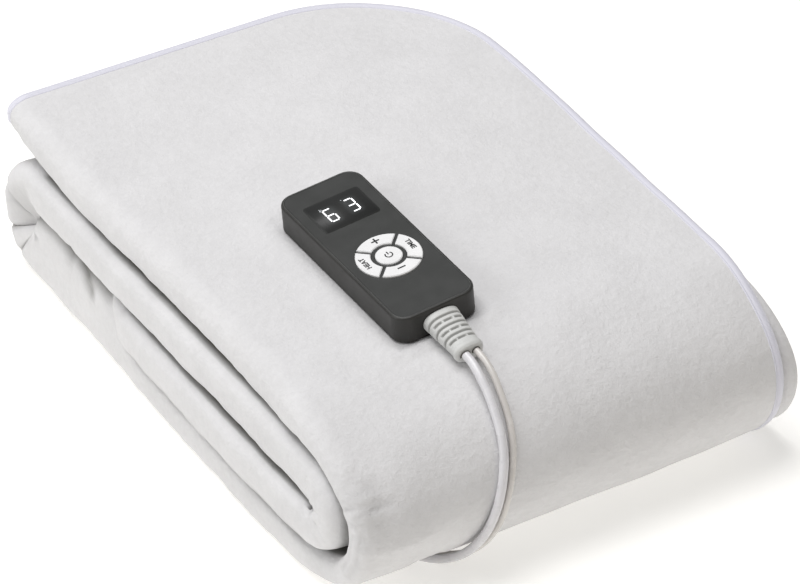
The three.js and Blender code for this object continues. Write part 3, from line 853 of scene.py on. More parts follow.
@dataclass
class Finishes:
    """Every finish of the blanket, made once."""

    fleece: bpy.types.Material = made_of(
        Fleece("white_fleece", (0.75, 0.744, 0.75), (0.69, 0.684, 0.688), 0.95)
    )
    satin: bpy.types.Material = made_of(
        SatinTape("satin_tape", (0.77, 0.765, 0.84), (0.7, 0.695, 0.78), 0.45, Coordinates.FLAT)
    )
    shell: bpy.types.Material = made_of(
        Moulded("dark_shell", (0.027, 0.0265, 0.0235), (0.021, 0.0205, 0.018), 0.5, lint=0.2)
    )
    face: bpy.types.Material = made_of(
        Moulded("dark_face", (0.037, 0.0385, 0.037), (0.031, 0.0325, 0.031), 0.5, lint=0.2)
    )
    # lighter colour of the ring painted as the highlight along the face's rounded edge
    edge: bpy.types.Material = made_of(
        Moulded("edge_line", (0.085, 0.087, 0.085), (0.065, 0.067, 0.065), 0.4)
    )
    window: bpy.types.Material = made_of(
        LensFilm(
            "smoked_window", (0.033, 0.0345, 0.033), (0.02, 0.021, 0.0205), 0.5, Coordinates.FLAT
        )
    )
    sign: bpy.types.Material = made_of(
        Lit("lit_sign", (0.6, 0.62, 0.64), (0.5, 0.52, 0.54), 0.5, power=0.5)
    )
    glow: bpy.types.Material = made_of(
        Lit("lit_segment", (1.0, 1.0, 1.0), (0.9, 0.92, 0.95), 0.5, power=1.3)
    )
    key: bpy.types.Material = made_of(
        Moulded("white_key", (0.93, 0.93, 0.93), (0.88, 0.88, 0.88), 0.3, coat=0.3)
    )
    mark: bpy.types.Material = made_of(
        Moulded("printed_mark", (0.045, 0.045, 0.045), (0.03, 0.03, 0.03), 0.5)
    )
    relief: bpy.types.Material = made_of(
        GroovedRubber("grey_rubber", (0.66, 0.665, 0.65), (0.6, 0.605, 0.59), 0.5, fineness=900.0)
    )
    # dark colour of the discs painted as the shade inside the lead exits
    exit_shading: bpy.types.Material = made_of(
        Moulded("painted_exit_shade", (0.16, 0.155, 0.14), (0.11, 0.105, 0.095), 0.7)
    )
    mains: bpy.types.Material = made_of(
        Vinyl("mains_sheath", (0.76, 0.75, 0.77), (0.71, 0.7, 0.72), 0.3)
    )
    thin: bpy.types.Material = made_of(
        Vinyl("thin_sheath", (0.74, 0.71, 0.68), (0.67, 0.64, 0.61), 0.28)
    )
    plug: bpy.types.Material = made_of(
        Moulded("plug_plastic", (0.83, 0.82, 0.84), (0.78, 0.77, 0.79), 0.35, coat=0.2)
    )
    blade: bpy.types.Material = made_of(
        Blade("pin_metal", (0.7, 0.68, 0.62), (0.55, 0.53, 0.48), 0.3)
    )
    tie: bpy.types.Material = made_of(
        Moulded("tie_strap", (0.8, 0.8, 0.8), (0.72, 0.72, 0.72), 0.45)
    )
    floor: bpy.types.Material = made_of(
        LightTable("plain_floor", (0.84, 0.832, 0.81), (0.83, 0.822, 0.8), 0.9)
    )


# ---------------------------------------------------------------- camera, lights and floor


@dataclass(frozen=True)
class SoftLight:
    """A square soft light.

    Attributes:
        name: Its name.
        at: Its place in metres.
        aim: The point it looks at, in metres.
        size: Its side in metres.
        power: Its power in watts.
        tint: Its colour.
    """

    name: str
    at: Point
    aim: Point
    size: float
    power: float
    tint: Colour

    def hang(self) -> None:
        """Hangs the light in the scene."""
        data = bpy.data.lights.new(self.name, "AREA")
        data.size, data.energy, data.color = self.size, self.power, self.tint
        light = bpy.data.objects.new(self.name, data)
        bpy.context.scene.collection.objects.link(light)
        light.location = self.at
        light.rotation_mode = "QUATERNION"
        light.rotation_quaternion = (Vector(self.aim) - Vector(self.at)).to_track_quat("-Z", "Y")


@dataclass
class Studio:
    """Plain pale floor, soft lights and the camera.

    Attributes:
        camera_at: Place of the camera.
        camera_back: Direction from what it looks at to the camera.
        lens: Its focal length.
        sensor: Width of its sensor.
        floor_half: Half side of the floor.
        floor_drop: How far the floor lies below the bundle.
        room: Strength of the room's even light.
        lights: The soft lights.
    """

    camera_at: Point = (-1407.7, -2354.0, 2097.8)
    camera_back: Point = (-0.413, -0.686, 0.5995)
    lens: float = 261.0
    sensor: float = 36.0
    floor_half: float = 6000.0
    floor_drop: float = 0.2
    room: float = 0.24
    lights: tuple[SoftLight, ...] = (
        SoftLight("overhead", (-0.3, 0.5, 2.7), (0, 0, 0.05), 2.0, 60.0, (1.0, 0.995, 1.0)),
        SoftLight("warm_fill", (0.5, -2.4, 0.3), (0, 0, 0.03), 1.2, 3.0, (1.0, 0.78, 0.48)),
        SoftLight("left_key", (-2.6, 0.3, 1.5), (0, 0, 0.05), 1.8, 20.0, (1.0, 1.0, 1.0)),
    )

    def place_camera(self) -> None:
        """Makes the scene's camera."""
        data = bpy.data.cameras.new("camera")
        data.lens, data.sensor_width = self.lens, self.sensor
        data.clip_start, data.clip_end = 0.1, 60.0
        camera = bpy.data.objects.new("camera", data)
        bpy.context.scene.collection.objects.link(camera)
        camera.location = Vector(self.camera_at) * MM
        camera.rotation_mode = "QUATERNION"
        camera.rotation_quaternion = (-Vector(self.camera_back)).to_track_quat("-Z", "Y")
        bpy.context.scene.camera = camera

    def lay_floor(self, finish: bpy.types.Material) -> None:
        """Args:
            finish: Its material.
        """
        bm = bmesh.new()
        bmesh.ops.create_grid(bm, x_segments=1, y_segments=1, size=self.floor_half * MM)
        bmesh.ops.translate(bm, verts=bm.verts, vec=(0, 0, -self.floor_drop * MM))
        floor = finished("floor", bm, finish)

    def light(self) -> None:
        """Hangs the lights and sets the even light of the room."""
        world = bpy.data.worlds.new("room")
        world.use_nodes = True
        background = world.node_tree.nodes["Background"]
        Net.set(background, Color=(1.0, 1.0, 1.0, 1.0), Strength=self.room)
        bpy.context.scene.world = world
        for light in self.lights:
            light.hang()
        bpy.context.scene.view_settings.view_transform = "Standard"


# ---------------------------------------------------------------- leads


class FarEnd(Enum):
    """What a lead ends in."""

    PLUG = "plug"
    OBJECT = "object"


@dataclass
class Lead:
    """One round lead on a smooth route.

    Attributes:
        name: Name of the piece.
        diameter: Its diameter.
        route: The points it follows.
        stands_for: The CAD nodes it replaces.
        slot: Name of a material slot; not used.
        far_end: What it ends in; not used.
        stiffness: How stiff it is; not used.
        lay: How it lies; not used.
        spacing: Distance between the points of its dense line.
    """

    name: str
    diameter: float
    route: list[Point]
    stands_for: tuple[str, ...]
    slot: str
    far_end: FarEnd
    stiffness: str
    lay: str
    spacing: float = 2.5

    def line(self) -> np.ndarray:
        """Dense centreline of the whole lead, in millimetres."""
        return centripetal(self.route, self.spacing)

    def build(
        self, finish: bpy.types.Material, going_with: Sequence[bpy.types.Object] = ()
    ) -> None:
        """Args:
            finish: Its material.
            going_with: The separate pieces on it; not used.
        """
        line = self.line() * MM
        data = bpy.data.curves.new(self.name, "CURVE")
        data.dimensions = "3D"
        data.bevel_depth = self.diameter * MM / 2
        data.bevel_resolution = 5
        data.use_fill_caps = True
        data.twist_mode = "MINIMUM"
        spline = data.splines.new("POLY")
        spline.points.add(len(line) - 1)
        spline.points.foreach_set("co", np.hstack([line, np.ones((len(line), 1))]).ravel())
        data.materials.append(finish)
        lead = bpy.data.objects.new(self.name, data)
        bpy.context.scene.collection.objects.link(lead)
        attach(lead, "bundle")
        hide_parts(*self.stands_for)
        length = float(np.linalg.norm(np.diff(line, axis=0), axis=1).sum())
        list(going_with)
        LOG.info("%s: %.0f mm long", self.name, length / MM)


@dataclass
class Leads:
    """The mains lead with its coil and plug, and the thin lead into the blanket.

    Attributes:
        mains_diameter: Diameter of the mains lead.
        thin_diameter: Diameter of the thin lead.
        floor_gap: How far the leads lie above the floor.
        coil_x: Middle of the coil.
        coil_y: Middle of the coil.
        coil_radius: Middle radius of the coil's two columns of turns.
        turn_steps: Points on each turn.
        step_from: Share of a turn after which the lead steps to the next bed.
        tie_at: Place of the tie round the coil, in degrees.
        tie_wide: Width of the tie.
        tie_thick: Thickness of the tie.
        tie_corner: Corner radius of the tie's loop.
        tie_slack: Room between tie and coil, across and up.
    """

    mains_diameter: float = 5.4
    thin_diameter: float = 4.2
    floor_gap: float = 0.1
    coil_x: float = -20.0
    coil_y: float = 262.8
    coil_radius: float = 31.0
    turn_steps: int = 24
    step_from: float = 0.72
    tie_at: float = 150.0
    tie_wide: float = 7.0
    tie_thick: float = 0.7
    tie_corner: float = 3.2
    tie_slack: tuple[float, float] = (0.5, 0.4)

    def shown_mains(self) -> list[Point]:
        """Route of the mains lead from the strain relief to the coil.

        Returns:
            Its points.
        """
        z = self.mains_diameter / 2 + self.floor_gap
        return [
            (-41.2, -155.8, 115.8), (-41, -160, 115.3), (-41.2, -166, 113.8),
            (-41.6, -173, 110.8), (-42.2, -182, 105.6), (-43.6, -192.4, 98), (-45.4, -201.6, 89.4),
            (-48.2, -208.6, 80), (-51.4, -213, 71), (-54.6, -215.4, 61), (-58, -215.8, 50),
            (-61.6, -213.4, 37.6), (-65.2, -207.6, 25), (-69, -199.4, 13.8), (-73.6, -190.8, 6.6),
            (-79.4, -182.8, z + 0.5),
            (-85.4, -174.6, z), (-89.8, -165, z), (-92.2, -153, z), (-92.8, -138, z),
            (-92.8, -100, z),
            (-92.8, -40, z), (-92.8, 30, z), (-92.8, 100, z), (-92.8, 160, z), (-92.8, 199, z),
            (-91.2, 212.6, z), (-85, 223.4, z), (-74, 229.4, z), (-58, 230.3, z),
            (self.coil_x - 20.1, 230.3, z),
        ]

    def coil_turns(self) -> list[Point]:
        """Six turns, two across and three high, wound from the outside in and up.

        Returns:
            Their points.
        """
        half = self.mains_diameter / 2
        z0 = half + self.floor_gap
        beds = [(1, 0), (-1, 0), (-1, 1), (1, 1), (-1, 2), (1, 2)]
        steps = self.turn_steps
        points = []
        for k in range(1, steps * len(beds)):
            turn, into = divmod(k, steps)
            before, after = beds[turn], beds[min(turn + 1, len(beds) - 1)]
            change = float(past(into / steps, self.step_from, 1 - self.step_from))
            across, high = (mix(a, b, change) for a, b in zip(before, after))
            angle = -math.pi / 2 + 2 * math.pi * k / steps
            radius = self.coil_radius + across * half
            x, y = (radius * turn_of(angle) for turn_of in (math.cos, math.sin))
            points.append((self.coil_x + x, self.coil_y + y, z0 + high * self.mains_diameter))
        return points

    def tail(self) -> list[Point]:
        """From the top of the coil down to the plug."""
        places = ((20.5, 230.3, 12.4), (28, 230.4, 11.2), (36, 230.6, 10), (44, 230.6, 9.6))
        return [(self.coil_x + x, y, z) for x, y, z in places]

    def thin_route(self) -> list[Point]:
        """From the strain relief under the bundle and up its back into the blanket's end.

        Returns:
            Its points.
        """
        z = self.thin_diameter / 2 + self.floor_gap
        return [
            (-34.2, -155.7, 116.4), (-33.9, -160, 115.8), (-33.6, -166, 113.9),
            (-33.6, -173, 110.4), (-34.6, -182, 104.4), (-36, -192, 96.6), (-38.4, -201, 88),
            (-41.8, -207.8, 78.6),
            (-45.6, -212.6, 69), (-49, -215, 59), (-52.4, -215.2, 47), (-56, -212, 34),
            (-59.8, -205.2, 21.4), (-63.8, -196, 10.8), (-68.8, -187.2, 5),
            (-74.6, -178.8, z + 0.3), (-80.2, -170.2, z), (-84.4, -160.4, z), (-86.8, -149, z),
            (-87.4, -136, z), (-87.4, -100, z),
            (-87.4, -40, z), (-87.4, 30, z), (-87.4, 100, z), (-87.4, 160, z), (-87.4, 186, z),
            (-87.3, 200, z + 0.6), (-87, 212, 6.8), (-86.6, 220, 16.4), (-86, 223.4, 30),
            (-85, 224.4, 48), (-83.8, 225, 66), (-82.4, 224.4, 80), (-81, 221.4, 91.6),
            (-80.2, 216.6, 97.4), (-80, 210.9, 98.9),
        ]

    def tie(self, finish: bpy.types.Material) -> bpy.types.Object:
        """Makes the strap that holds the coil.

        Args:
            finish: Its material.

        Returns:
            The strap.
        """
        wide = 2 * (self.mains_diameter + self.tie_slack[0])
        high = 3 * self.mains_diameter + 2 * self.tie_slack[1]
        bm = plate(wide * MM, high * MM, self.tie_corner * MM, 5)
        bmesh.ops.delete(bm, geom=bm.faces[:], context="FACES_ONLY")
        made = bmesh.ops.extrude_edge_only(bm, edges=bm.edges[:])
        moved = [g for g in made["geom"] if isinstance(g, bmesh.types.BMVert)]
        bmesh.ops.translate(bm, verts=moved, vec=(0, 0, self.tie_wide * MM))
        bmesh.ops.recalc_face_normals(bm, faces=bm.faces[:])
        cos, sin = math.cos(math.radians(self.tie_at)), math.sin(math.radians(self.tie_at))
        middle = Vector((
            self.coil_x + self.coil_radius * cos,
            self.coil_y + self.coil_radius * sin,
            self.floor_gap + 1.5 * self.mains_diameter,
        ))
        # the strap's own x runs outward, its y up and its z round the coil
        turn = Matrix(((cos, 0, sin), (sin, 0, -cos), (0, 1, 0)))
        shift = Matrix.Translation((0, 0, -self.tie_wide * MM / 2))
        bm.transform(Matrix.Translation(middle * MM) @ turn.to_4x4() @ shift)
        piece = finished("coil_tie", bm, finish)
        wall = piece.modifiers.new("wall", "SOLIDIFY")
        wall.thickness, wall.offset = self.tie_thick * MM, 1.0
        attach(piece, "bundle")
        return piece

    def build(self, nodes: dict[str, bpy.types.Object], finishes: Finishes) -> None:
        """Makes both leads, and dresses the plug.

        Args:
            nodes: The CAD nodes.
            finishes: All finishes.
        """
        plug = [nodes[n] for n in ("plug_body", "plug_pin_left", "plug_pin_right")]
        for node, finish in zip(plug, (finishes.plug, finishes.blade, finishes.blade)):
            wear(node, finish)
        tie = self.tie(finishes.tie)
        Lead(
            "mains_lead_looks",
            self.mains_diameter,
            self.shown_mains() + self.coil_turns() + self.tail(),
            ("mains_lead", "mains_coil", "mains_tail"),
            "mains_sheath",
            FarEnd.PLUG,
            "medium",
            "coiled",
        ).build(finishes.mains, [*plug, tie])
        Lead(
            "blanket_lead_looks",
            self.thin_diameter,
            self.thin_route(),
            ("blanket_lead",),
            "thin_sheath",
            FarEnd.OBJECT,
            "limp",
            "loose",
        ).build(finishes.thin)


def wear(node: bpy.types.Object, finish: bpy.types.Material) -> None:
    """Puts a finish on a CAD node in place of its plain one."""
    node.data.materials.clear()
    node.data.materials.append(finish)


# ---------------------------------------------------------------- the folded cloth


class Leg(IntEnum):
    """Stretches of the four-ply strip, from the free end of the top layer inward."""

    TOP = 0
    OUTER_TURN = 1
    BOTTOM = 2
    BACK_TURN = 3
    SECOND = 4
    INNER_TURN = 5
    THIRD = 6

    @property
    def turns(self) -> bool:
        """Whether the strip bends round here."""
        return self in (Leg.OUTER_TURN, Leg.BACK_TURN, Leg.INNER_TURN)

    @property
    def forward(self) -> bool:
        """Whether a flat stretch runs towards -Y."""
        return self in (Leg.TOP, Leg.SECOND)


@dataclass(frozen=True)
class StripRow:
    """A row of a table along the strip.

    Attributes:
        leg: The leg it is on.
        at: Place on the leg: y on a flat one, the share of the bend on a turn.
    """

    leg: Leg
    at: float

    @property
    def run(self) -> float:
        """Place along the strip, which grows by one for each leg."""
        return run_of(self.leg, self.at)


@dataclass(frozen=True)
class EdgeRow(StripRow):
    """Where the strip's edges lie at one place.

    Attributes:
        left: Outermost point of the long left fold.
        hem: Edge of the outer ply.
        fold: Far edge of the fold between plies 3 and 4.
        puff: Share by which that fold swells.
    """

    left: float
    hem: float
    fold: float
    puff: float


@dataclass(frozen=True)
class FoldRow(StripRow):
    """Shape of the long left fold at one place.

    Attributes:
        outer: Roundness of the fold's outer half: 1 is an ellipse, less is squarer.
        inner: Roundness of its inner half.
        bulge: How far it swells inward past the strip's plies.
        sink: How far its inner half is tucked to the right.
    """

    outer: float
    inner: float
    bulge: float = 0.0
    sink: float = 0.0


def run_of(leg: Leg, at: float) -> float:
    """Place along the strip of a point on one leg, which grows by one for each leg."""
    y = -at if leg.forward else at
    return leg + (at if leg.turns else (y + FLAT_REACH) / (2 * FLAT_REACH))


def column(rows: Sequence[StripRow], run: np.ndarray, name: str) -> np.ndarray:
    """Values of one column of a table at places along the strip.

    Args:
        rows: The table.
        run: The places.
        name: Name of the column.

    Returns:
        One value for each place.
    """
    table = sorted(rows, key=lambda row: row.run)
    return np.interp(run, [row.run for row in table], [getattr(row, name) for row in table])


@dataclass(frozen=True)
class Crease:
    """A soft trough or ridge along a line on the flat cloth.

    Attributes:
        leg: The leg it is on.
        line: Its points: place on the leg, and distance across from the start of the left fold.
        rise: Height of its middle, negative for a trough.
        half: Half width of its bell.
        shade: How much shade is painted into its bottom.
    """

    leg: Leg
    line: tuple[tuple[float, float], ...]
    rise: float
    half: float
    shade: float = 0.0

    def share(
        self, along: np.ndarray, across: np.ndarray, place: Callable[[float], float]
    ) -> np.ndarray:
        """Share of its height at each point of the flat cloth.

        Args:
            along: Distance of each point along the strip.
            across: Distance of each point across from the fold's start.
            place: Gives the distance along the strip of a run.

        Returns:
            The shares, from 0 to 1.
        """
        points = [(place(run_of(self.leg, at)), off) for at, off in self.line]
        nearest = np.full(along.shape, 1e9)
        for (a0, b0), (a1, b1) in zip(points[:-1], points[1:]):
            da, db = a1 - a0, b1 - b0
            t = np.clip(((along - a0) * da + (across - b0) * db) / (da * da + db * db), 0, 1)
            nearest = np.minimum(nearest, np.hypot(along - a0 - t * da, across - b0 - t * db))
        return np.exp(-((nearest / self.half) ** 2))


@dataclass
class FoldedCloth:
    """The blanket: one sheet, folded to four plies across and wound to four layers.

    Attributes:
        ply: Thickness of a ply.
        loose_pitch: Distance from ply to ply where they lie loose.
        taut_pitch: Distance from ply to ply where they are pulled tight.
        layer_gap: Gap between two layers of the strip.
        back_end: y of the top layer's free end.
        top_turn_start: y where the top layer starts to bend down.
        front: Foremost y of the outer turn.
        back_turn: y where the back turn starts.
        inner_turn: y where the inner turn starts.
        inner_end: y of the strip's inner end.
        corner_radius: Radius of the top layer's hem corner.
        fold_reach: How far the long left fold reaches past its start.
        hem_inset: How far the inner hem lies inside the outer one.
        hem_inset_puffed: The same where the fold of plies 3 and 4 swells.
        swell_depth: Depth of that fold's upper side where it swells.
        swell_underside: Depth of its lower side there.
        swell_neck: Depth of its neck there.
        legs: Lines across the strip on each leg.
        across: Points on each stretch of the line across the strip.
        edges: Where the strip's edges lie.
        crown: Places across and the share by which the height grows there.
        folds: Shape of the long left fold.
        end_taut: How tight the plies are at the free end.
        end_from: y from which they tighten towards it.
        turn_taut: How tight they are on the inner turns.
        corner_lines: Lines across the strip on the hem corner.
        outer_taut: How tight they are at the start, middle and end of the outer turn.
        edge_blur: Widths over which the edges are smoothed, in general and at the ends.
        fold_blur: The same for the left fold's shape, in general and at the tuck.
        taut_blur: Width over which the tightness is smoothed.
        sharp_tip: y from which the free end's edges are sharper, and the distance that takes.
        sharp_end: The same at the inner end.
        crown_blur: Width over which the crown is smoothed.
        back_crown: Share by which the height grows at the back.
        lead_rise: How far the cloth rises over the leads under it.
        lead_x: Middle of the leads under the bundle.
        front_bow: How far the middle of the front bows out.
        back_skew: Slope of the back end across the bundle.
        nest: Height of the swelling round the handset.
        swells: Height of the soft undulation on the top and on the outer turn.
        lumps: Height of the left fold's lumps.
        tuck_shade: Depth of the shade on the back turn's tucked part.
        creases: Its creases.
        piece: The sheet, once it is built.
        places: Place of each of its points.
        normal: Outward direction at each point.
        flat: Flat place of each point.
    """

    ply: float = 4.0
    loose_pitch: float = 7.5
    taut_pitch: float = 4.5
    layer_gap: float = 2.0
    back_end: float = 205.0
    top_turn_start: float = -129.0
    front: float = -209.0
    back_turn: float = 164.5
    inner_turn: float = -160.0
    inner_end: float = 130.0
    corner_radius: float = 98.0
    fold_reach: float = 13.0
    hem_inset: float = 6.8
    hem_inset_puffed: float = 14.8
    swell_depth: float = 4.0
    swell_underside: float = 12.4
    swell_neck: float = 8.4
    legs: tuple[int, ...] = (80, 50, 46, 56, 56, 36, 40)
    across: tuple[int, ...] = (60, 22, 6, 3, 8, 3, 2, 8, 6, 8)
    edges: tuple[EdgeRow, ...] = (
        EdgeRow(Leg.TOP, 205, -139, 139, 134, 0),
        EdgeRow(Leg.TOP, 198, -141.5, 139, 134, 0),
        EdgeRow(Leg.TOP, 185, -142, 139, 134, 0),
        EdgeRow(Leg.TOP, 120, -142, 139, 134, 0),
        EdgeRow(Leg.TOP, 20, -138, 139.5, 134, 0),
        EdgeRow(Leg.TOP, -75, -138, 139, 135, 0),
        EdgeRow(Leg.TOP, -110, -139, 139, 139, 0.2),
        EdgeRow(Leg.OUTER_TURN, 0, -141, 138.5, 142.5, 0.5),
        EdgeRow(Leg.OUTER_TURN, 0.25, -141.5, 138.5, 149.5, 0.85),
        EdgeRow(Leg.OUTER_TURN, 0.5, -142, 138.5, 156, 1),
        EdgeRow(Leg.OUTER_TURN, 0.8, -143, 138.5, 156.5, 1),
        EdgeRow(Leg.OUTER_TURN, 1, -146.5, 138.5, 153, 0.9),
        EdgeRow(Leg.BOTTOM, -140, -149, 138.5, 149, 0.5),
        EdgeRow(Leg.BOTTOM, 30, -148, 138, 135, 0),
        EdgeRow(Leg.BOTTOM, 150, -146, 137, 134, 0),
        EdgeRow(Leg.BACK_TURN, 0, -147, 136, 133, 0),
        EdgeRow(Leg.BACK_TURN, 1, -149, 136, 133, 0),
        EdgeRow(Leg.SECOND, 130, -148, 138, 135, 0),
        EdgeRow(Leg.SECOND, 40, -147, 140, 137, 0),
        EdgeRow(Leg.SECOND, -140, -145, 138, 138, 0),
        EdgeRow(Leg.INNER_TURN, 0, -147, 136, 137, 0),
        EdgeRow(Leg.INNER_TURN, 1, -150, 136, 137, 0),
        EdgeRow(Leg.THIRD, -60, -153, 137, 136, 0),
        EdgeRow(Leg.THIRD, 56, -151, 135, 133, 0),
        EdgeRow(Leg.THIRD, 70, -146, 135, 133, 0),
        EdgeRow(Leg.THIRD, 90, -133, 135, 133, 0),
        EdgeRow(Leg.THIRD, 112, -128, 135, 133, 0),
        EdgeRow(Leg.THIRD, 130, -122, 135, 133, 0),
    )
    crown: tuple[tuple[float, float], ...] = (
        (-150, -0.078), (-97, -0.0574), (18, 0.0325), (63, 0.043), (140, 0.02), (155, 0.01),
    )
    folds: tuple[FoldRow, ...] = (
        FoldRow(Leg.TOP, 205, 1, 0.6),
        FoldRow(Leg.TOP, 150, 0.9, 0.4),
        FoldRow(Leg.TOP, -110, 0.9, 0.4),
        FoldRow(Leg.OUTER_TURN, 0.15, 0.85, 0.5),
        FoldRow(Leg.OUTER_TURN, 0.9, 0.8, 0.5),
        FoldRow(Leg.BOTTOM, -120, 0.55, 0.45),
        FoldRow(Leg.BOTTOM, 40, 0.5, 0.45),
        FoldRow(Leg.BOTTOM, 54, 0.5, 0.7, 8),
        FoldRow(Leg.BOTTOM, 66, 0.5, 0.8, 21),
        FoldRow(Leg.BOTTOM, 80, 0.5, 0.65, 28),
        FoldRow(Leg.BOTTOM, 150, 0.5, 0.55, 29),
        FoldRow(Leg.BACK_TURN, 0.05, 0.5, 0.55, 20),
        FoldRow(Leg.BACK_TURN, 0.3, 0.6, 0.55, 15, 0),
        FoldRow(Leg.BACK_TURN, 0.37, 0.6, 0.55, 15, 6),
        FoldRow(Leg.BACK_TURN, 0.85, 0.6, 0.5, 14, 6),
        FoldRow(Leg.BACK_TURN, 1, 0.5, 0.42, 3, 2),
        FoldRow(Leg.SECOND, 150, 0.5, 0.4),
        FoldRow(Leg.SECOND, -120, 0.5, 0.42),
        FoldRow(Leg.INNER_TURN, 0.1, 0.6, 0.5, 1.5),
        FoldRow(Leg.INNER_TURN, 0.9, 0.6, 0.5, 1.5),
        FoldRow(Leg.THIRD, -120, 0.45, 0.42),
        FoldRow(Leg.THIRD, 45, 0.42, 0.42),
        FoldRow(Leg.THIRD, 70, 0.6, 0.45),
        FoldRow(Leg.THIRD, 110, 0.7, 0.6),
    )
    end_taut: float = 0.8
    end_from: float = 130.0
    turn_taut: float = 0.3
    corner_lines: int = 26
    outer_taut: tuple[float, float, float] = (0.4, 1.0, 0.5)
    edge_blur: tuple[float, float] = (14.0, 4.0)
    fold_blur: tuple[float, float] = (8.0, 2.0)
    taut_blur: float = 16.0
    sharp_tip: tuple[float, float] = (165.0, 25.0)
    sharp_end: tuple[float, float] = (35.0, 15.0)
    crown_blur: float = 9.0
    back_crown: float = -0.035
    lead_rise: float = 6.4
    lead_x: float = -90.0
    front_bow: float = 4.2
    back_skew: float = -0.02
    nest: float = 2.2
    swells: tuple[float, float] = (1.3, 2.2)
    lumps: float = 0.9
    tuck_shade: float = 0.22
    creases: tuple[Crease, ...] = (
        Crease(Leg.BACK_TURN, ((0.36, 5), (0.34, 14), (0.38, 33)), -3.2, 2.6, 0.8),
        Crease(Leg.BACK_TURN, ((0.2, 10), (0.17, 20), (0.08, 33)), -2.4, 2.2, 0.6),
        Crease(Leg.BOTTOM, ((134, 34), (128, 28), (125, 23)), -2.2, 2.4, 0.5),
        Crease(Leg.BOTTOM, ((108, 24), (101, 22), (93, 20)), -1.6, 1.8, 0.6),
        Crease(Leg.BACK_TURN, ((0.62, 8), (0.6, 22)), -1.2, 4.0, 0.15),
        Crease(Leg.OUTER_TURN, ((0.44, 10), (0.54, 12), (0.7, 12)), -0.9, 2.2, 0.1),
        Crease(Leg.OUTER_TURN, ((0.46, 17), (0.56, 19), (0.7, 18)), -0.8, 2.2, 0.1),
        Crease(Leg.OUTER_TURN, ((0.25, 15), (0.262, 3)), -0.9, 2.4, 0.05),
        Crease(Leg.OUTER_TURN, ((0.29, 17), (0.3, 2), (0.312, -5)), -1.2, 2.4, 0.07),
        Crease(Leg.OUTER_TURN, ((0.315, 16), (0.33, -1)), 1.1, 2.8),
        Crease(Leg.OUTER_TURN, ((0.34, 18), (0.357, 4), (0.36, -8)), -1.3, 2.4, 0.08),
        Crease(Leg.OUTER_TURN, ((0.368, 17), (0.385, -2)), 1.2, 3.0),
        Crease(Leg.OUTER_TURN, ((0.4, 16), (0.415, 0)), -1.2, 2.4, 0.07),
        Crease(Leg.OUTER_TURN, ((0.45, 15), (0.46, -6)), -0.9, 3.2, 0.03),
        Crease(Leg.OUTER_TURN, ((0.52, 8), (0.53, -26)), 1.0, 5.0),
        Crease(Leg.INNER_TURN, ((0.35, 22), (0.3, 32)), -1.6, 2.2, 0.4),
        Crease(Leg.INNER_TURN, ((0.6, 20), (0.66, 32)), -1.6, 2.2, 0.4),
        Crease(Leg.SECOND, ((118, 22), (112, 34)), -1.2, 2.6, 0.15),
        Crease(Leg.SECOND, ((20, 24), (12, 34)), -1.6, 2.2, 0.3),
        Crease(Leg.THIRD, ((66, 12), (58, 24)), -1.2, 2.6, 0.1),
        Crease(Leg.TOP, ((-20, 24), (-34, 32)), -1.4, 3.0, 0.15),
        Crease(Leg.TOP, ((60, 26), (52, 33)), -1.2, 3.0, 0.1),
    )

    piece: bpy.types.Object = field(init=False)
    places: np.ndarray = field(init=False)
    normal: np.ndarray = field(init=False)
    flat: np.ndarray = field(init=False)

    @property
    def strip_height(self) -> float:
        """Height of the strip's four plies where they lie loose."""
        return self.ply + 3 * self.loose_pitch

    @property
    def height(self) -> float:
        """Height of the bundle's top face, before its crown."""
        return 3 * (self.strip_height + self.layer_gap) + self.strip_height

    def way(self) -> dict[str, np.ndarray]:
        """Outer face of the strip in the Y-Z plane.

        Returns:
            Arrays with one value for each line across the strip: leg, at, y, z, dy, dz, taut,
            run and along.
        """
        top, step = self.height, self.strip_height + self.layer_gap
        mid, second = top / 2, top - step
        rows: list[tuple[float, ...]] = []

        def flat(leg: Leg, start: float, end: float, z: float, shares: np.ndarray) -> None:
            """Adds a flat stretch.

            Args:
                leg: The leg.
                start: y where it starts.
                end: y where it ends.
                z: Its height.
                shares: Where its lines stand, as shares of its length.
            """
            sign = -1.0 if leg.forward else 1.0
            for s in shares:
                y = mix(start, end, s)
                into = (y - self.end_from) / (self.back_end - self.end_from)
                taut = self.end_taut * float(smooth(into)) if leg is Leg.TOP else 0.0
                rows.append((leg, y, y, z, sign, 0.0, taut))

        def turn(leg: Leg, count: int, line: Callable[[float], tuple[float, ...]]) -> None:
            """Adds a turn.

            Args:
                leg: The leg.
                count: Number of its lines.
                line: Gives point, direction and tightness at a share of the turn.
            """
            for k in range(1, count + 1):
                y, z, dy, dz, taut = line(k / count)
                size = math.hypot(dy, dz)
                rows.append((leg, k / count, y, z, dy / size, dz / size, taut))

        def outer(s: float) -> tuple[float, ...]:
            """Front turn: an upper quarter ellipse and a lower quarter circle.

            Args:
                s: Share of the turn.

            Returns:
                Point, direction and tightness.
            """
            a = s * math.pi
            taut = float(np.interp(s, (0, 0.5, 1), self.outer_taut))
            if s <= 0.5:
                wide = self.top_turn_start - self.front
                y, z = self.top_turn_start - wide * math.sin(a), mid + mid * math.cos(a)
                return y, z, -wide * math.cos(a), -mid * math.sin(a), taut
            b = a - math.pi / 2
            y, z = self.front + mid - mid * math.cos(b), mid - mid * math.sin(b)
            return y, z, mid * math.sin(b), -mid * math.cos(b), taut

        def half_circle(y0: float, radius: float, z0: float, side: float) -> Callable:
            """Gives the line of a half circle.

            Args:
                y0: Where it starts.
                radius: Its radius.
                z0: Height at which it starts.
                side: 1 where it swings out and up, -1 where it swings in and down.

            Returns:
                Function that gives point, direction and tightness at a share of it.
            """
            return lambda s: (
                y0 + side * radius * math.sin(s * math.pi),
                z0 + side * radius * (1 - math.cos(s * math.pi)),
                side * math.cos(s * math.pi),
                side * math.sin(s * math.pi),
                self.turn_taut,
            )

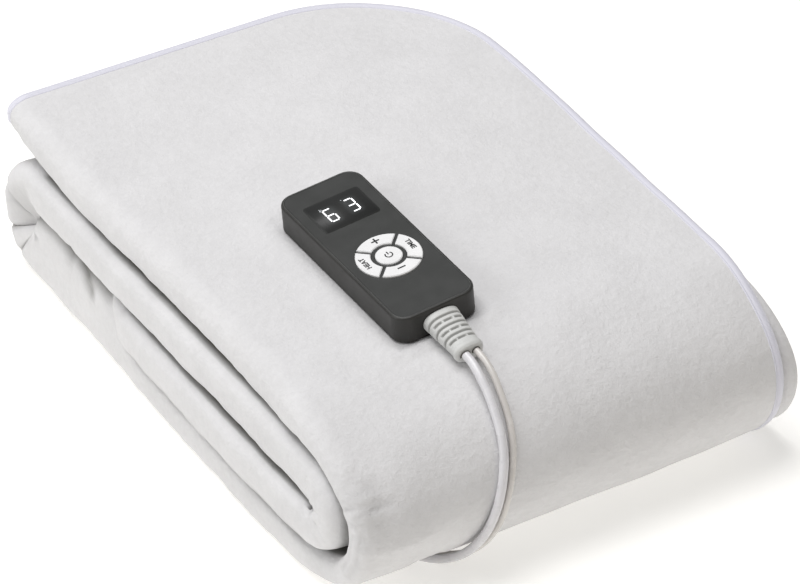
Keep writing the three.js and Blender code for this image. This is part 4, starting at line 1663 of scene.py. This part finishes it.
        n = self.legs
        corner = self.corner_radius / (self.back_end - self.top_turn_start)
        head = (1 - np.sin(np.linspace(1, 0, self.corner_lines) * math.pi / 2)) * corner
        rest = np.linspace(corner, 1, n[0] - self.corner_lines + 2)[1:]
        even = {leg: np.linspace(0, 1, n[leg] + 1)[1:] for leg in Leg}
        flat(Leg.TOP, self.back_end, self.top_turn_start, top, np.concatenate([head, rest]))
        turn(Leg.OUTER_TURN, n[1], outer)
        flat(Leg.BOTTOM, self.front + mid, self.back_turn, 0.0, even[Leg.BOTTOM])
        turn(Leg.BACK_TURN, n[3], half_circle(self.back_turn, second / 2, 0.0, 1.0))
        flat(Leg.SECOND, self.back_turn, self.inner_turn, second, even[Leg.SECOND])
        nose = half_circle(self.inner_turn, (second - step) / 2, second, -1.0)
        turn(Leg.INNER_TURN, n[5], nose)
        flat(Leg.THIRD, self.inner_turn, self.inner_end, step, even[Leg.THIRD])
        names = ("leg", "at", "y", "z", "dy", "dz", "taut")
        way = dict(zip(names, np.array(rows, float).T))
        way["run"] = np.array([run_of(Leg(int(leg)), at) for leg, at in zip(way["leg"], way["at"])])
        steps = np.hypot(np.diff(way["y"]), np.diff(way["z"]))
        way["along"] = np.concatenate([[0], np.cumsum(steps)])
        return way

    def edge_lines(self, way: dict[str, np.ndarray]) -> dict[str, np.ndarray]:
        """Places of the edges at each line across the strip.

        Args:
            way: The strip's way.

        Returns:
            Arrays left, hem, fold, puff, pitch, outer, inner, bulge and sink.
        """
        leg, y, run, along = (way[name] for name in ("leg", "y", "run", "along"))
        tip = (leg == Leg.TOP) * past(y, *self.sharp_tip)
        end = (leg == Leg.THIRD) * past(y, *self.sharp_end)
        tuck = (leg == Leg.BACK_TURN) * past(way["at"], 0.1, 0.1)
        edge_width = mix(*self.edge_blur, np.maximum(tip, end))
        tables = (
            (self.edges, ("left", "hem", "fold", "puff"), edge_width),
            (self.folds, ("outer", "inner", "bulge", "sink"), mix(*self.fold_blur, tuck)),
        )
        lines = {
            name: blurred(column(rows, run, name), along, width)
            for rows, names, width in tables
            for name in names
        }
        radius = self.corner_radius
        into = np.clip(np.where(leg == Leg.TOP, y - (self.back_end - radius), 0), 0, radius)
        lines["hem"] = lines["hem"] - (radius - np.sqrt(radius**2 - into**2))
        inside = np.minimum(lines["fold"], lines["hem"] - 4)
        lines["fold"] = np.where(into > 0, inside, lines["fold"])
        taut = smooth(blurred(way["taut"], along, self.taut_blur))
        lines["pitch"] = mix(self.loose_pitch, self.taut_pitch, taut)
        return lines

    def ply_line(
        self,
        left: float,
        hem: float,
        fold: float,
        puff: float,
        pitch: float,
        outer: float,
        inner: float,
        bulge: float,
        sink: float,
    ) -> np.ndarray:
        """Middle line of the four plies from the outer to the inner hem.

        Args:
            left: Outermost point of the long left fold.
            hem: Edge of the outer ply.
            fold: Far edge of the fold between plies 3 and 4.
            puff: Share by which that fold swells.
            pitch: Distance from ply to ply.
            outer: Roundness of the long left fold's outer half.
            inner: Roundness of its inner half.
            bulge: How far it swells inward past the plies.
            sink: How far its inner half is tucked to the right.

        Returns:
            Rows of x and depth below the outer face.
        """
        depth = [self.ply / 2 + k * pitch for k in range(4)]
        bend = left + self.fold_reach
        hem2 = hem - mix(self.hem_inset, self.hem_inset_puffed, puff)
        upper = mix(depth[2], self.swell_depth, puff)
        lower = mix(depth[3], self.swell_underside, puff)
        radius = (lower - upper) / 2
        centre = fold - radius - self.ply / 2
        neck = min(hem + 1, centre - 1)
        ease = min(hem2 + 4, centre - 3)
        neck_depth = mix(depth[2], self.swell_neck, puff)
        n = self.across
        line: list[tuple[float, float]] = [(hem, depth[0])]

        def run(x0: float, x1: float, d0: float, d1: float, count: int) -> None:
            """Adds a nearly straight stretch."""
            for k in range(1, count + 1):
                t = k / count
                line.append((mix(x0, x1, t), mix(d0, d1, float(smooth(t)))))

        def arc(
            x: float,
            d0: float,
            d1: float,
            reach: float,
            count: int,
            shape: tuple[float, float] = (1, 1),
            tuck: float = 0.0,
        ) -> None:
            """Adds a half turn, whose two halves may be squarer than round.

            Args:
                x: Where it starts and ends.
                d0: Depth at which it starts.
                d1: Depth at which it ends.
                reach: How far it bends out, below 0 to the left.
                count: Number of its points.
                shape: Power of the round of its first and second half.
                tuck: How far its second half is tucked in.
            """
            for k in range(1, count + 1):
                t = k / count
                a = t * math.pi
                power = float(mix(*shape, past(t, 0.35, 0.3)))
                down = math.copysign(abs(math.cos(a)) ** power, math.cos(a))
                out = reach * max(math.sin(a), 0.0) ** power
                tucked = float(past(t, 0.4, 0.25)) * (1 - float(past(t, 0.85, 0.15)))
                line.append((x + out + tuck * tucked, (d0 + d1) / 2 + (d0 - d1) / 2 * down))

        reach, shape = self.fold_reach - self.ply / 2, (outer, inner)
        run(hem, bend, depth[0], depth[0], n[0])
        arc(bend, depth[0], depth[3] + bulge, -reach, n[1], shape, sink)
        run(bend, bend + 18, depth[3] + bulge, depth[3], 6)
        run(bend + 18, ease, depth[3], depth[3], n[2])
        run(ease, centre, depth[3], lower, n[3])
        arc(centre, lower, upper, radius, n[4])
        run(centre, neck, upper, neck_depth, n[5])
        run(neck, ease, neck_depth, depth[2], n[6])
        run(ease, bend, depth[2], depth[2], n[7])
        arc(bend, depth[2], depth[1], -pitch / 2, n[8])
        run(bend, hem2, depth[1], depth[1], n[9])
        return np.array(line)

    def settle(self, places: np.ndarray) -> np.ndarray:
        """Soft shape of the bundle: its crown, the bow of its front and the rise over the leads.

        Args:
            places: Points of the bundle before it settles, one row each.

        Returns:
            The settled points.
        """
        x, y, z = places.T
        fine = np.arange(-170.0, 171.0, 2.0)
        shares = np.interp(fine, *zip(*self.crown))
        share = np.interp(x, fine, blurred(shares, fine, self.crown_blur))
        share = mix(share, self.back_crown, past(y, 60, 125))
        over_leads = past(-np.abs(x - self.lead_x), -15, 8)
        rise = self.lead_rise * over_leads * np.exp(-z / 14)
        bowed = self.front_bow * (1 - (x / 150) ** 2) * past(-y, 140, 50)
        skewed = self.back_skew * x * past(y, 60, 140)
        return np.stack([x, y - bowed + skewed, z * (1 + share) + rise], axis=1)

    def lift(self, x: np.ndarray, way: dict[str, np.ndarray]) -> np.ndarray:
        """Soft undulation of the outer face, and its rise beside the handset.

        Args:
            x: Place across, for each line and point.
            way: The strip's way.

        Returns:
            Height above the plain face.
        """
        leg, y, along = (way[name][:, None] for name in ("leg", "y", "along"))
        handset = Handset()
        off_x = np.abs(x - handset.x) - handset.width / 2
        off_y = np.abs(y - handset.y) - handset.length / 2
        far = np.hypot(np.maximum(off_x, 0), np.maximum(off_y, 0))
        nest = self.nest * past(far, 0, 5) * past(-far, -26, 20)
        swell = clouds(x, along, 85, 62, 3.7) + 0.5 * clouds(x, along, 34, 41, 9.1)
        calm = past(along, 8, 60) * past(far, 4, 40) * past(-along, -530, 60)
        on_top, on_turn = leg == Leg.TOP, leg == Leg.OUTER_TURN
        strength = np.where(on_turn, self.swells[1], self.swells[0])
        return np.where(on_top | on_turn, nest * on_top + strength * calm * swell, 0.0)

    def unevenness(self, along: np.ndarray, off: np.ndarray) -> np.ndarray:
        """Slight lumps of the long left fold, which make the gaps between its layers uneven.

        Args:
            along: Distance along the strip.
            off: Distance across from where the fold starts.

        Returns:
            Height above the plain surface.
        """
        near = past(off, -14, 14) * past(-off, -50, 12)
        lumps = clouds(along, off, 26, 16, 1.3) + 0.6 * clouds(along, off, 9, 8, 5.1)
        return self.lumps * near * lumps

    def cavity(self, way: dict[str, np.ndarray], columns: int) -> np.ndarray:
        """How deep between the layers each point lies, which sets the shade painted there.

        Args:
            way: The strip's way.
            columns: Points across the strip.

        Returns:
            Values from 0 to 1.
        """
        first, count = self.across[0], self.across[1]
        t = (np.arange(columns) - first) / count
        leg, at, y = way["leg"], way["at"], way["y"]
        second, third, bottom = leg == Leg.SECOND, leg == Leg.THIRD, leg == Leg.BOTTOM
        # share of the left fold over which the shade fades, from its outer and inner ends
        outer_reach = np.select([second, third], [0.08, 0.46], 0.16)[:, None]
        inner_reach = np.select([third, bottom], [0.1, 0.34], 0.13)[:, None]
        outer = smooth((outer_reach - t) / outer_reach)
        inner = past(t, 1 - inner_reach, inner_reach) * (t < 1.35)
        fused = past(y, 38, 10) * past(-y, -82, 10)
        choices = [second, leg == Leg.INNER_TURN, third]
        outer_on = np.select(choices, [1.0, 0.6, past(-y, -50, 14)], 0.0)[:, None]
        inner_on = np.where(bottom, 1 - fused, 1.0)[:, None]
        deep = np.maximum(outer_on * outer, inner_on * inner)
        # shade painted on the back turn's tucked part
        painted_shade = self.tuck_shade * past(at, 0.33, 0.05) * past(-at, -0.98, 0.1)
        painted_shade = np.where(leg == Leg.BACK_TURN, painted_shade, 0.0)[:, None] * past(t, 0.35, 0.2)
        return np.maximum(deep, painted_shade)

    def build(self, finish: bpy.types.Material) -> None:
        """Folds the sheet.

        Args:
            finish: Its material.
        """
        way = self.way()
        along, leg_count = way["along"], len(way["along"])
        lines = self.edge_lines(way)
        keys = ("left", "hem", "fold", "puff", "pitch", "outer", "inner", "bulge", "sink")
        plies = np.array(
            [self.ply_line(*(float(lines[key][j]) for key in keys)) for j in range(leg_count)]
        )
        middle = plies[leg_count // 3]
        across = np.concatenate([[0], np.cumsum(np.hypot(*np.diff(middle, axis=0).T))])
        x, depth = plies[..., 0], plies[..., 1]
        outer_ply = np.arange(x.shape[1]) <= self.across[0]
        inland = past(x - lines["left"][:, None], self.fold_reach, 20)
        depth = depth - self.lift(x, way) * outer_ply * inland
        y = way["y"][:, None] - way["dz"][:, None] * depth
        z = way["z"][:, None] + way["dy"][:, None] * depth
        places = self.settle(np.stack([x, y, z], axis=-1).reshape(-1, 3)).reshape(*x.shape, 3)
        s, w = np.meshgrid(along, across, indexing="ij")
        off = w - across[self.across[0]]

        def place(run: float) -> float:
            """Distance along the strip of a run."""
            return float(np.interp(run, way["run"], along))

        shares = [crease.share(s, off, place) for crease in self.creases]
        height = sum(c.rise * share for c, share in zip(self.creases, shares))
        height = height + self.unevenness(s, off)
        # painted shade: crease bottoms and the gaps between layers are darkened in the fleece's
        # colour
        shade = sum(c.shade * share for c, share in zip(self.creases, shares))
        cavity = np.clip(self.cavity(way, x.shape[1]) + shade, 0, 1)
        normal = np.cross(np.gradient(places, axis=1), np.gradient(places, axis=0))
        normal /= np.maximum(np.linalg.norm(normal, axis=2, keepdims=True), 1e-9)
        self.places = places + normal * height[..., None]
        self.normal = normal
        self.flat = np.stack([w, s], axis=-1)
        LOG.info("flat cloth: %.0f by %.0f mm", across[-1], along[-1])
        bm = shaped_grid(self.places * MM, self.flat * MM, cavity=cavity)
        self.piece = finished("blanket_looks", bm, finish)
        wall = self.piece.modifiers.new("thickness", "SOLIDIFY")
        wall.thickness, wall.offset = self.ply * MM, 0.0
        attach(self.piece, "bundle")
        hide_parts("blanket")


@dataclass
class EdgeBinding:
    """Satin tape sewn round all four edges of the cloth.

    Attributes:
        section: Its section: distance out from the cloth's edge, and up.
    """

    section: tuple[tuple[float, float], ...] = (
        (-4.1, 1.6), (-3.9, 2.3), (-3.4, 2.45), (-3.0, 2.15), (-2.6, 2.5), (-0.8, 2.8), (0.8, 2.4),
        (1.9, 1.5), (2.3, 0.0), (1.9, -1.5), (0.8, -2.4), (-0.8, -2.7), (-2.6, -2.5), (-3.9, -2.3),
        (-4.1, -1.6),
    )

    def build(self, cloth: FoldedCloth, finish: bpy.types.Material) -> bpy.types.Object:
        """Sweeps the tape round the cloth.

        Args:
            cloth: The folded cloth.
            finish: The tape's material.

        Returns:
            The binding.
        """
        p, n = cloth.places, cloth.normal
        rows, columns = p.shape[:2]
        loop = [(j, 0) for j in range(rows - 1, 0, -1)]
        loop += [(0, i) for i in range(columns - 1)]
        loop += [(j, columns - 1) for j in range(rows - 1)]
        loop += [(rows - 1, i) for i in range(columns - 1, 0, -1)]
        j, i = np.array(loop).T
        at, up = p[j, i], n[j, i]
        inner = p[np.clip(j, 1, rows - 2), np.clip(i, 1, columns - 2)]
        forward = np.roll(at, -1, axis=0) - np.roll(at, 1, axis=0)
        forward /= np.linalg.norm(forward, axis=1, keepdims=True)
        out = np.cross(up, forward)
        out *= np.sign(np.sum(out * (at - inner), axis=1, keepdims=True))
        out /= np.linalg.norm(out, axis=1, keepdims=True)
        ring = np.array([*self.section, self.section[0]])
        places = at[:, None] + out[:, None] * ring[:, :1] + up[:, None] * ring[:, 1:]
        places = np.concatenate([places, places[:1]])
        step = np.linalg.norm(np.diff(np.concatenate([at, at[:1]]), axis=0), axis=1)
        run = np.concatenate([[0], np.cumsum(step)])
        round_it = np.concatenate([[0], np.cumsum(np.hypot(*np.diff(ring, axis=0).T))])
        flat = np.stack(np.meshgrid(round_it, run), axis=-1)
        bm = shaped_grid(places * MM, flat * MM, closed=True)
        bmesh.ops.recalc_face_normals(bm, faces=bm.faces[:])
        piece = finished("edge_binding_looks", bm, finish)
        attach(piece, "bundle")
        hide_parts("edge_binding")
        return piece


# ---------------------------------------------------------------- the handset


@dataclass
class StrainRelief:
    """Flattened rubber sleeve at the handset's cord end, with grooves, slots and a collar.

    Attributes:
        start: y where it leaves the handset.
        middle: Height of its middle there.
        length: Its length.
        dip: Angle by which it dips, in degrees.
        wide: Its width at the start and at the end.
        thick: Its thickness there.
        squareness: Power of the section's round; 1 is an ellipse.
        collar: How far the collar at the end stands out.
        groove_depth: Depth of the grooves and slots.
        groove_half: Half their width.
        grooves: Where the grooves lie along it.
        slot_rows: Where the rows of slots lie.
        slots: Middles of the slots across it.
        slot_half: Half a slot's length.
        exits: Place across and radius of each lead.
    """

    start: float = -69.3
    middle: float = 9.2
    length: float = 31.0
    dip: float = 8.0
    wide: tuple[float, float] = (23.0, 17.0)
    thick: tuple[float, float] = (13.0, 10.5)
    squareness: float = 0.8
    collar: float = 0.7
    groove_depth: float = 1.15
    groove_half: float = 0.72
    grooves: tuple[float, ...] = (4.6, 12.1, 19.6)
    slot_rows: tuple[float, ...] = (8.3, 15.8, 23.3)
    slots: tuple[float, ...] = (-7.6, 0.2, 7.8)
    slot_half: float = 2.95
    exits: tuple[tuple[float, float], ...] = ((-3.6, 2.7), (3.6, 2.1))

    @staticmethod
    def within(off: np.ndarray, half: float, soft: float = 0.35) -> np.ndarray:
        """Mask that is 1 within a half width and falls softly to 0."""
        return smooth((half + soft - np.abs(off)) / (2 * soft))

    def sleeve(self) -> bmesh.types.BMesh:
        """Makes the sleeve in the handset's own axes.

        Returns:
            The sleeve, whose cavity layer marks the grooves and slots where shade is painted.
        """
        share = np.concatenate([[0, 0], np.linspace(0, 1, 112), [1, 1, 1, 1]])
        closing = np.concatenate([[0.02, 0.93], np.ones(112), [0.95, 0.8, 0.4, 0.02]])[:, None]
        beyond = np.concatenate([np.zeros(114), [0.35, 0.55, 0.55, 0.55]])
        angle = np.linspace(0, 2 * np.pi, 97)
        cos, sin = (
            np.sign(v) * np.abs(v) ** self.squareness for v in (np.cos(angle), np.sin(angle))
        )
        run = share * self.length
        a = mix(*self.wide, share)[:, None] / 2
        b = mix(*self.thick, share)[:, None] / 2
        # distance round the section from the middle of its upper or lower side
        step = np.hypot(np.diff(a * cos, axis=1), np.diff(b * sin, axis=1))
        round_it = np.concatenate([np.zeros((len(share), 1)), np.cumsum(step, axis=1)], axis=1)
        quarter = round_it[:, 24:25]
        off = np.where(angle < np.pi, quarter - round_it, round_it - 3 * quarter)
        closer = (1 - 0.15 * share)[:, None]
        groove = sum(self.within(run - g, self.groove_half) for g in self.grooves)[:, None]
        rows = sum(self.within(run - r, self.groove_half) for r in self.slot_rows)[:, None]
        columns = sum(self.within(off - c * closer, self.slot_half) for c in self.slots)
        cut = np.maximum(groove, rows * columns)
        ring = past(share, 0.86, 0.05) * past(-share, -1.01, 0.05)
        swell = (self.collar * ring[:, None] - self.groove_depth * cut) * (closing > 0.9)
        x, z = (a * closing + swell) * cos, (b * closing + swell) * sin
        dip = math.radians(self.dip)
        far = (run + beyond)[:, None] * np.ones_like(x)
        y = self.start - far * math.cos(dip)
        places = np.stack([x, y, self.middle + z - far * math.sin(dip)], axis=-1)
        flat = np.stack([np.broadcast_to(angle * 7, x.shape), far], axis=-1)
        # the cut mask also sets the shade painted into the grooves and slots
        return shaped_grid(places, flat, True, cut)

    def exit_shade_discs(self) -> bmesh.types.BMesh:
        """Makes dark discs at the lead exits, painted shade inside the openings that the leads come
        out of.

        Returns:
            Two thin discs in the handset's own axes.
        """
        bm = bmesh.new()
        dip = math.radians(self.dip)
        far = self.length + 0.62
        at = Vector((0, self.start - far * math.cos(dip), self.middle - far * math.sin(dip)))
        for x, radius in self.exits:
            size = {"radius1": radius + 0.75, "radius2": radius + 0.65, "depth": 0.12}
            made = bmesh.ops.create_cone(bm, cap_ends=True, segments=32, **size)["verts"]
            bmesh.ops.rotate(bm, matrix=Matrix.Rotation(math.pi / 2 + dip, 3, "X"), verts=made)
            bmesh.ops.translate(bm, vec=at + Vector((x, 0, 0)), verts=made)
        return bm


@dataclass
class Handset:
    """The wired control: a dark shell, a face with a lit display, and five white keys.

    Attributes:
        x: Place of its own axes.
        y: Place of its own axes.
        z: Height of its underside.
        turn: Its turn about Z in degrees.
        lean: Its lean about Y in degrees.
        width: Its size across.
        length: Its size along.
        height: Height of its face.
        corner: Radius of its corners.
        face_inset: Width of the shell's rim round the face.
        key_y: Middle of the power key.
        key_top: Height of the keys' tops.
        ring_middle: How far the middles of the side keys lie from the centre line.
        lens_y: Middle of the display.
        lens_wide: Its width.
        lens_high: Its size along the handset.
        lens_thick: Thickness of its film.
        digits_at: Middles of the two digits.
        digit_wide: Their width.
        digit_high: Their height.
        bar: Width of a segment.
        lit_thick: Thickness of the lit marks.
        mark_thick: Thickness of the marks on the keys.
        cross: Length and width of the strokes of the plus and the minus.
        plus_y: Middle of the plus.
        minus_y: Middle of the minus.
        words_y: Middle of the words.
        power_radius: Radius of the power sign's ring.
        power_bar: Width of its strokes.
        power_gap: Half the angle of its gap, in degrees.
    """

    x: float = -38.1
    y: float = -55.0
    z: float = 111.18
    turn: float = 0.4
    lean: float = -5.0
    width: float = 54.0
    length: float = 138.0
    height: float = 18.5
    corner: float = 10.0
    face_inset: float = 1.8
    key_y: float = -14.4
    key_top: float = 19.7
    ring_middle: float = 15.1
    lens_y: float = 38.2
    lens_wide: float = 37.0
    lens_high: float = 28.0
    lens_thick: float = 0.15
    digits_at: tuple[tuple[float, float], ...] = ((-7.4, 37.7), (7.4, 38.6))
    digit_wide: float = 5.1
    digit_high: float = 11.8
    bar: float = 0.85
    lit_thick: float = 0.06
    mark_thick: float = 0.1
    cross: tuple[float, float] = (5.2, 1.0)
    plus_y: float = 0.7
    minus_y: float = -28.4
    words_y: float = -13.4
    power_radius: float = 2.2
    power_bar: float = 0.75
    power_gap: float = 40.0

    @property
    def frame(self) -> Matrix:
        """Place of the handset's own axes, in metres.

        Returns:
            The matrix that puts them there.
        """
        turn = Matrix.Rotation(math.radians(self.turn), 4, "Z")
        lean = Matrix.Rotation(math.radians(self.lean), 4, "Y")
        return Matrix.Translation(Vector((self.x, self.y, self.z)) * MM) @ turn @ lean

    @property
    def display_top(self) -> float:
        """Height at which the lit marks lie, just over the display's film."""
        return self.height + self.lens_thick + 0.02

    def put(
        self, name: str, bm: bmesh.types.BMesh, finish: bpy.types.Material, body: str
    ) -> bpy.types.Object:
        """Puts a shape made in the handset's own axes, in millimetres, in its place.

        Args:
            name: Name of the piece.
            bm: Its shape.
            finish: Its material.
            body: The CAD body it rides on.

        Returns:
            The piece.
        """
        bm.transform(self.frame @ Matrix.Scale(MM, 4))
        bmesh.ops.recalc_face_normals(bm, faces=bm.faces[:])
        piece = finished(name, bm, finish)
        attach(piece, body)
        return piece

    def dress_nodes(self, nodes: dict[str, bpy.types.Object], finishes: Finishes) -> None:
        """Puts the finishes on the handset's CAD nodes.

        Args:
            nodes: The CAD nodes.
            finishes: All finishes.
        """
        wear(nodes["handset_case"], finishes.shell)
        wear(nodes["handset_face"], finishes.face)
        for key in ("power", "plus", "minus", "heat", "time"):
            wear(nodes[f"key_{key}"], finishes.key)

    @staticmethod
    def bar_shape(
        bm: bmesh.types.BMesh,
        x: float,
        y: float,
        wide: float,
        high: float,
        z: float,
        thick: float,
        turn: float = 0.0,
    ) -> None:
        """Adds a flat bar.

        Args:
            bm: The bmesh it joins.
            x: Place of its middle.
            y: Place of its middle.
            wide: Its size along x before it is turned.
            high: Its size along y before it is turned.
            z: Height of its underside.
            thick: Its thickness.
            turn: Its turn about Z in degrees.
        """
        made = bmesh.ops.create_cube(bm, size=1.0)["verts"]
        bmesh.ops.scale(bm, vec=(wide, high, thick), verts=made)
        bmesh.ops.rotate(bm, matrix=Matrix.Rotation(math.radians(turn), 3, "Z"), verts=made)
        bmesh.ops.translate(bm, vec=(x, y, z + thick / 2), verts=made)

    def digits(self) -> bmesh.types.BMesh:
        """Makes the segments of the two lit digits.

        Returns:
            The segments in the handset's own axes.
        """
        bm = bmesh.new()
        lit = {6: "ACDEFG", 3: "ABCDG"}
        w, h, b = self.digit_wide / 2, self.digit_high / 4, self.bar
        places = {
            "A": (0, 2 * h, True), "G": (0, 0, True), "D": (0, -2 * h, True),
            "F": (-w, h, False), "B": (w, h, False), "E": (-w, -h, False), "C": (w, -h, False),
        }
        for (x, y), digit in zip(self.digits_at, lit):
            for segment in lit[digit]:
                dx, dy, level = places[segment]
                size = (2 * w - b - 0.1, b) if level else (b, 2 * h - b - 0.1)
                self.bar_shape(bm, x + dx, y + dy, *size, self.display_top, self.lit_thick)
        return bm

    def small_signs(self) -> bmesh.types.BMesh:
        """Makes the heat and time signs above the digits' left corners.

        Returns:
            A thermometer and a clock's hands, in the handset's own axes.
        """
        bm = bmesh.new()
        (hx, hy), (tx, ty) = (
            (x - self.digit_wide / 2 - 0.9, y + self.digit_high / 2 + 1.3)
            for x, y in self.digits_at
        )
        bars = (
            (hx, hy, 0.35, 1.8, 0),
            (hx, hy - 0.9, 0.8, 0.8, 45),
            (hx + 0.9, hy - 0.2, 0.3, 1.0, 0),
            (tx, ty + 0.25, 0.25, 0.6, 0),
            (tx + 0.2, ty, 0.5, 0.25, 0),
        )
        for x, y, wide, high, turn in bars:
            self.bar_shape(bm, x, y, wide, high, self.display_top, self.lit_thick, turn)
        return bm

    @staticmethod
    def thicken(bm: bmesh.types.BMesh, thick: float, at: Point) -> None:
        """Raises a flat shape by its thickness and moves it to its place."""
        raise_faces(bm, thick)
        bmesh.ops.translate(bm, verts=bm.verts, vec=at)

    def edge_line(self) -> bmesh.types.BMesh:
        """Makes a thin lighter ring where the face meets the shell, a painted highlight along the
        face's rounded edge.

        Returns:
            The line in the handset's own axes.
        """
        inset = self.face_inset - 0.45
        bm = plate(self.width - 2 * inset, self.length - 2 * inset, self.corner - inset, 10)
        inside = bm.faces[:]
        kind = {"use_boundary": True, "use_even_offset": True}
        bmesh.ops.inset_region(bm, faces=inside, thickness=0.6, **kind)
        bmesh.ops.delete(bm, geom=inside, context="FACES")
        self.thicken(bm, 0.12, (0, 0, self.height - 0.06))
        return bm

    def lens(self) -> bmesh.types.BMesh:
        """Makes the film that covers the display.

        Returns:
            The film in the handset's own axes, with its flat layout.
        """
        bm = plate(self.lens_wide, self.lens_high, 2.0)
        self.thicken(bm, self.lens_thick, (0, self.lens_y, self.height))
        flat = bm.loops.layers.uv.new("UVMap")
        for face in bm.faces:
            for loop in face.loops:
                loop[flat].uv = loop.vert.co.xy * MM
        return bm

    def build(self, nodes: dict[str, bpy.types.Object], finishes: Finishes) -> None:
        """Dresses the handset and makes its lit digits and key marks.

        Args:
            nodes: The CAD nodes.
            finishes: All finishes.
        """
        self.dress_nodes(nodes, finishes)
        lens = self.put("display_lens", self.lens(), finishes.window, "bundle")
        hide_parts("display_window")
        # lighter ring painted as the highlight along the face's rounded edge
        self.put("face_edge_line", self.edge_line(), finishes.edge, "bundle")
        relief = StrainRelief()
        sleeve = self.put(
            "strain_relief_looks", relief.sleeve(), finishes.relief, "bundle"
        )
        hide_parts("strain_relief")
        # dark discs painted as the shade inside the lead exits
        self.put("painted_shade_at_lead_exits", relief.exit_shade_discs(), finishes.exit_shading, "bundle")
        self.put("display_digits", self.digits(), finishes.glow, "bundle")
        self.put("display_signs", self.small_signs(), finishes.sign, "bundle")
        marks = (
            ("plus_mark", self.strokes(self.plus_y, True), "plus_key"),
            ("minus_mark", self.strokes(self.minus_y, False), "minus_key"),
            ("heat_mark", self.lettering("HEAT", -1), "heat_key"),
            ("time_mark", self.lettering("TIME", 1), "time_key"),
            ("power_mark", self.power_sign(), "power_key"),
        )
        for name, bm, body in marks:
            self.put(name, bm, finishes.mark, body)

    def strokes(self, y: float, upright: bool) -> bmesh.types.BMesh:
        """Makes a minus, or a plus with its upright stroke.

        Args:
            y: Its middle.
            upright: Whether it has the upright stroke.

        Returns:
            The strokes in the handset's own axes.
        """
        bm = bmesh.new()
        long, wide = self.cross
        self.bar_shape(bm, 0, y, long, wide, self.key_top, self.mark_thick)
        if upright:
            self.bar_shape(bm, 0, y, wide, long, self.key_top, self.mark_thick)
        return bm

    def lettering(self, word: str, side: int) -> bmesh.types.BMesh:
        """Makes the word on a side key, which reads along the handset.

        Args:
            word: The word.
            side: -1 for the left key, 1 for the right one.

        Returns:
            The raised letters.
        """
        data = bpy.data.curves.new(word, "FONT")
        data.body, data.size = word, 4.3
        data.align_x, data.align_y = "CENTER", "CENTER"
        data.offset = 0.13
        data.resolution_u = 3
        holder = bpy.data.objects.new(word, data)
        bpy.context.scene.collection.objects.link(holder)
        shown = holder.evaluated_get(bpy.context.evaluated_depsgraph_get())
        mesh = bpy.data.meshes.new_from_object(shown)
        bm = bmesh.new()
        bm.from_mesh(mesh)
        bpy.data.objects.remove(holder)
        bpy.data.curves.remove(data)
        bpy.data.meshes.remove(mesh)
        bmesh.ops.remove_doubles(bm, verts=bm.verts, dist=1e-4)
        raise_faces(bm, self.mark_thick)
        place = Matrix.Translation((side * self.ring_middle, self.words_y, self.key_top))
        bm.transform(place @ Matrix.Rotation(-side * math.pi / 2, 4, "Z"))
        return bm

    def power_sign(self) -> bmesh.types.BMesh:
        """Makes the open ring and bar of the power key.

        Returns:
            The sign in the handset's own axes.
        """
        bm = bmesh.new()
        line = bmesh.ops.create_grid(bm, x_segments=1, y_segments=1, size=0.5)["verts"]
        bmesh.ops.scale(bm, vec=(self.power_bar, 1e-6, 1), verts=line)
        bmesh.ops.remove_doubles(bm, verts=bm.verts, dist=1e-4)
        bmesh.ops.translate(bm, vec=(self.power_radius, 0, 0), verts=bm.verts)
        start = Matrix.Rotation(math.radians(90 + self.power_gap), 3, "Z")
        bmesh.ops.rotate(bm, matrix=start, verts=bm.verts)
        bmesh.ops.spin(
            bm,
            geom=bm.verts[:] + bm.edges[:],
            cent=(0, 0, 0),
            axis=(0, 0, 1),
            angle=math.radians(360 - 2 * self.power_gap),
            steps=28,
            use_merge=False,
        )
        raise_faces(bm, self.mark_thick)
        self.bar_shape(bm, 0, 1.7, self.power_bar, 2.6, 0.0, self.mark_thick)
        bmesh.ops.translate(bm, verts=bm.verts, vec=(0, self.key_y, self.key_top))
        return bm


def main() -> None:
    """Loads the frame and builds every sub-assembly in order."""
    logging.basicConfig(level=logging.INFO, format="%(name)s: %(message)s", force=True)
    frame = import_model()
    nodes = frame["nodes"]
    finishes = Finishes()
    studio = Studio()
    studio.place_camera()
    Leads().build(nodes, finishes)
    cloth = FoldedCloth()
    cloth.build(finishes.fleece)
    EdgeBinding().build(cloth, finishes.satin)
    Handset().build(nodes, finishes)
    studio.lay_floor(finishes.floor)
    studio.light()


if __name__ == "__main__":
    main()
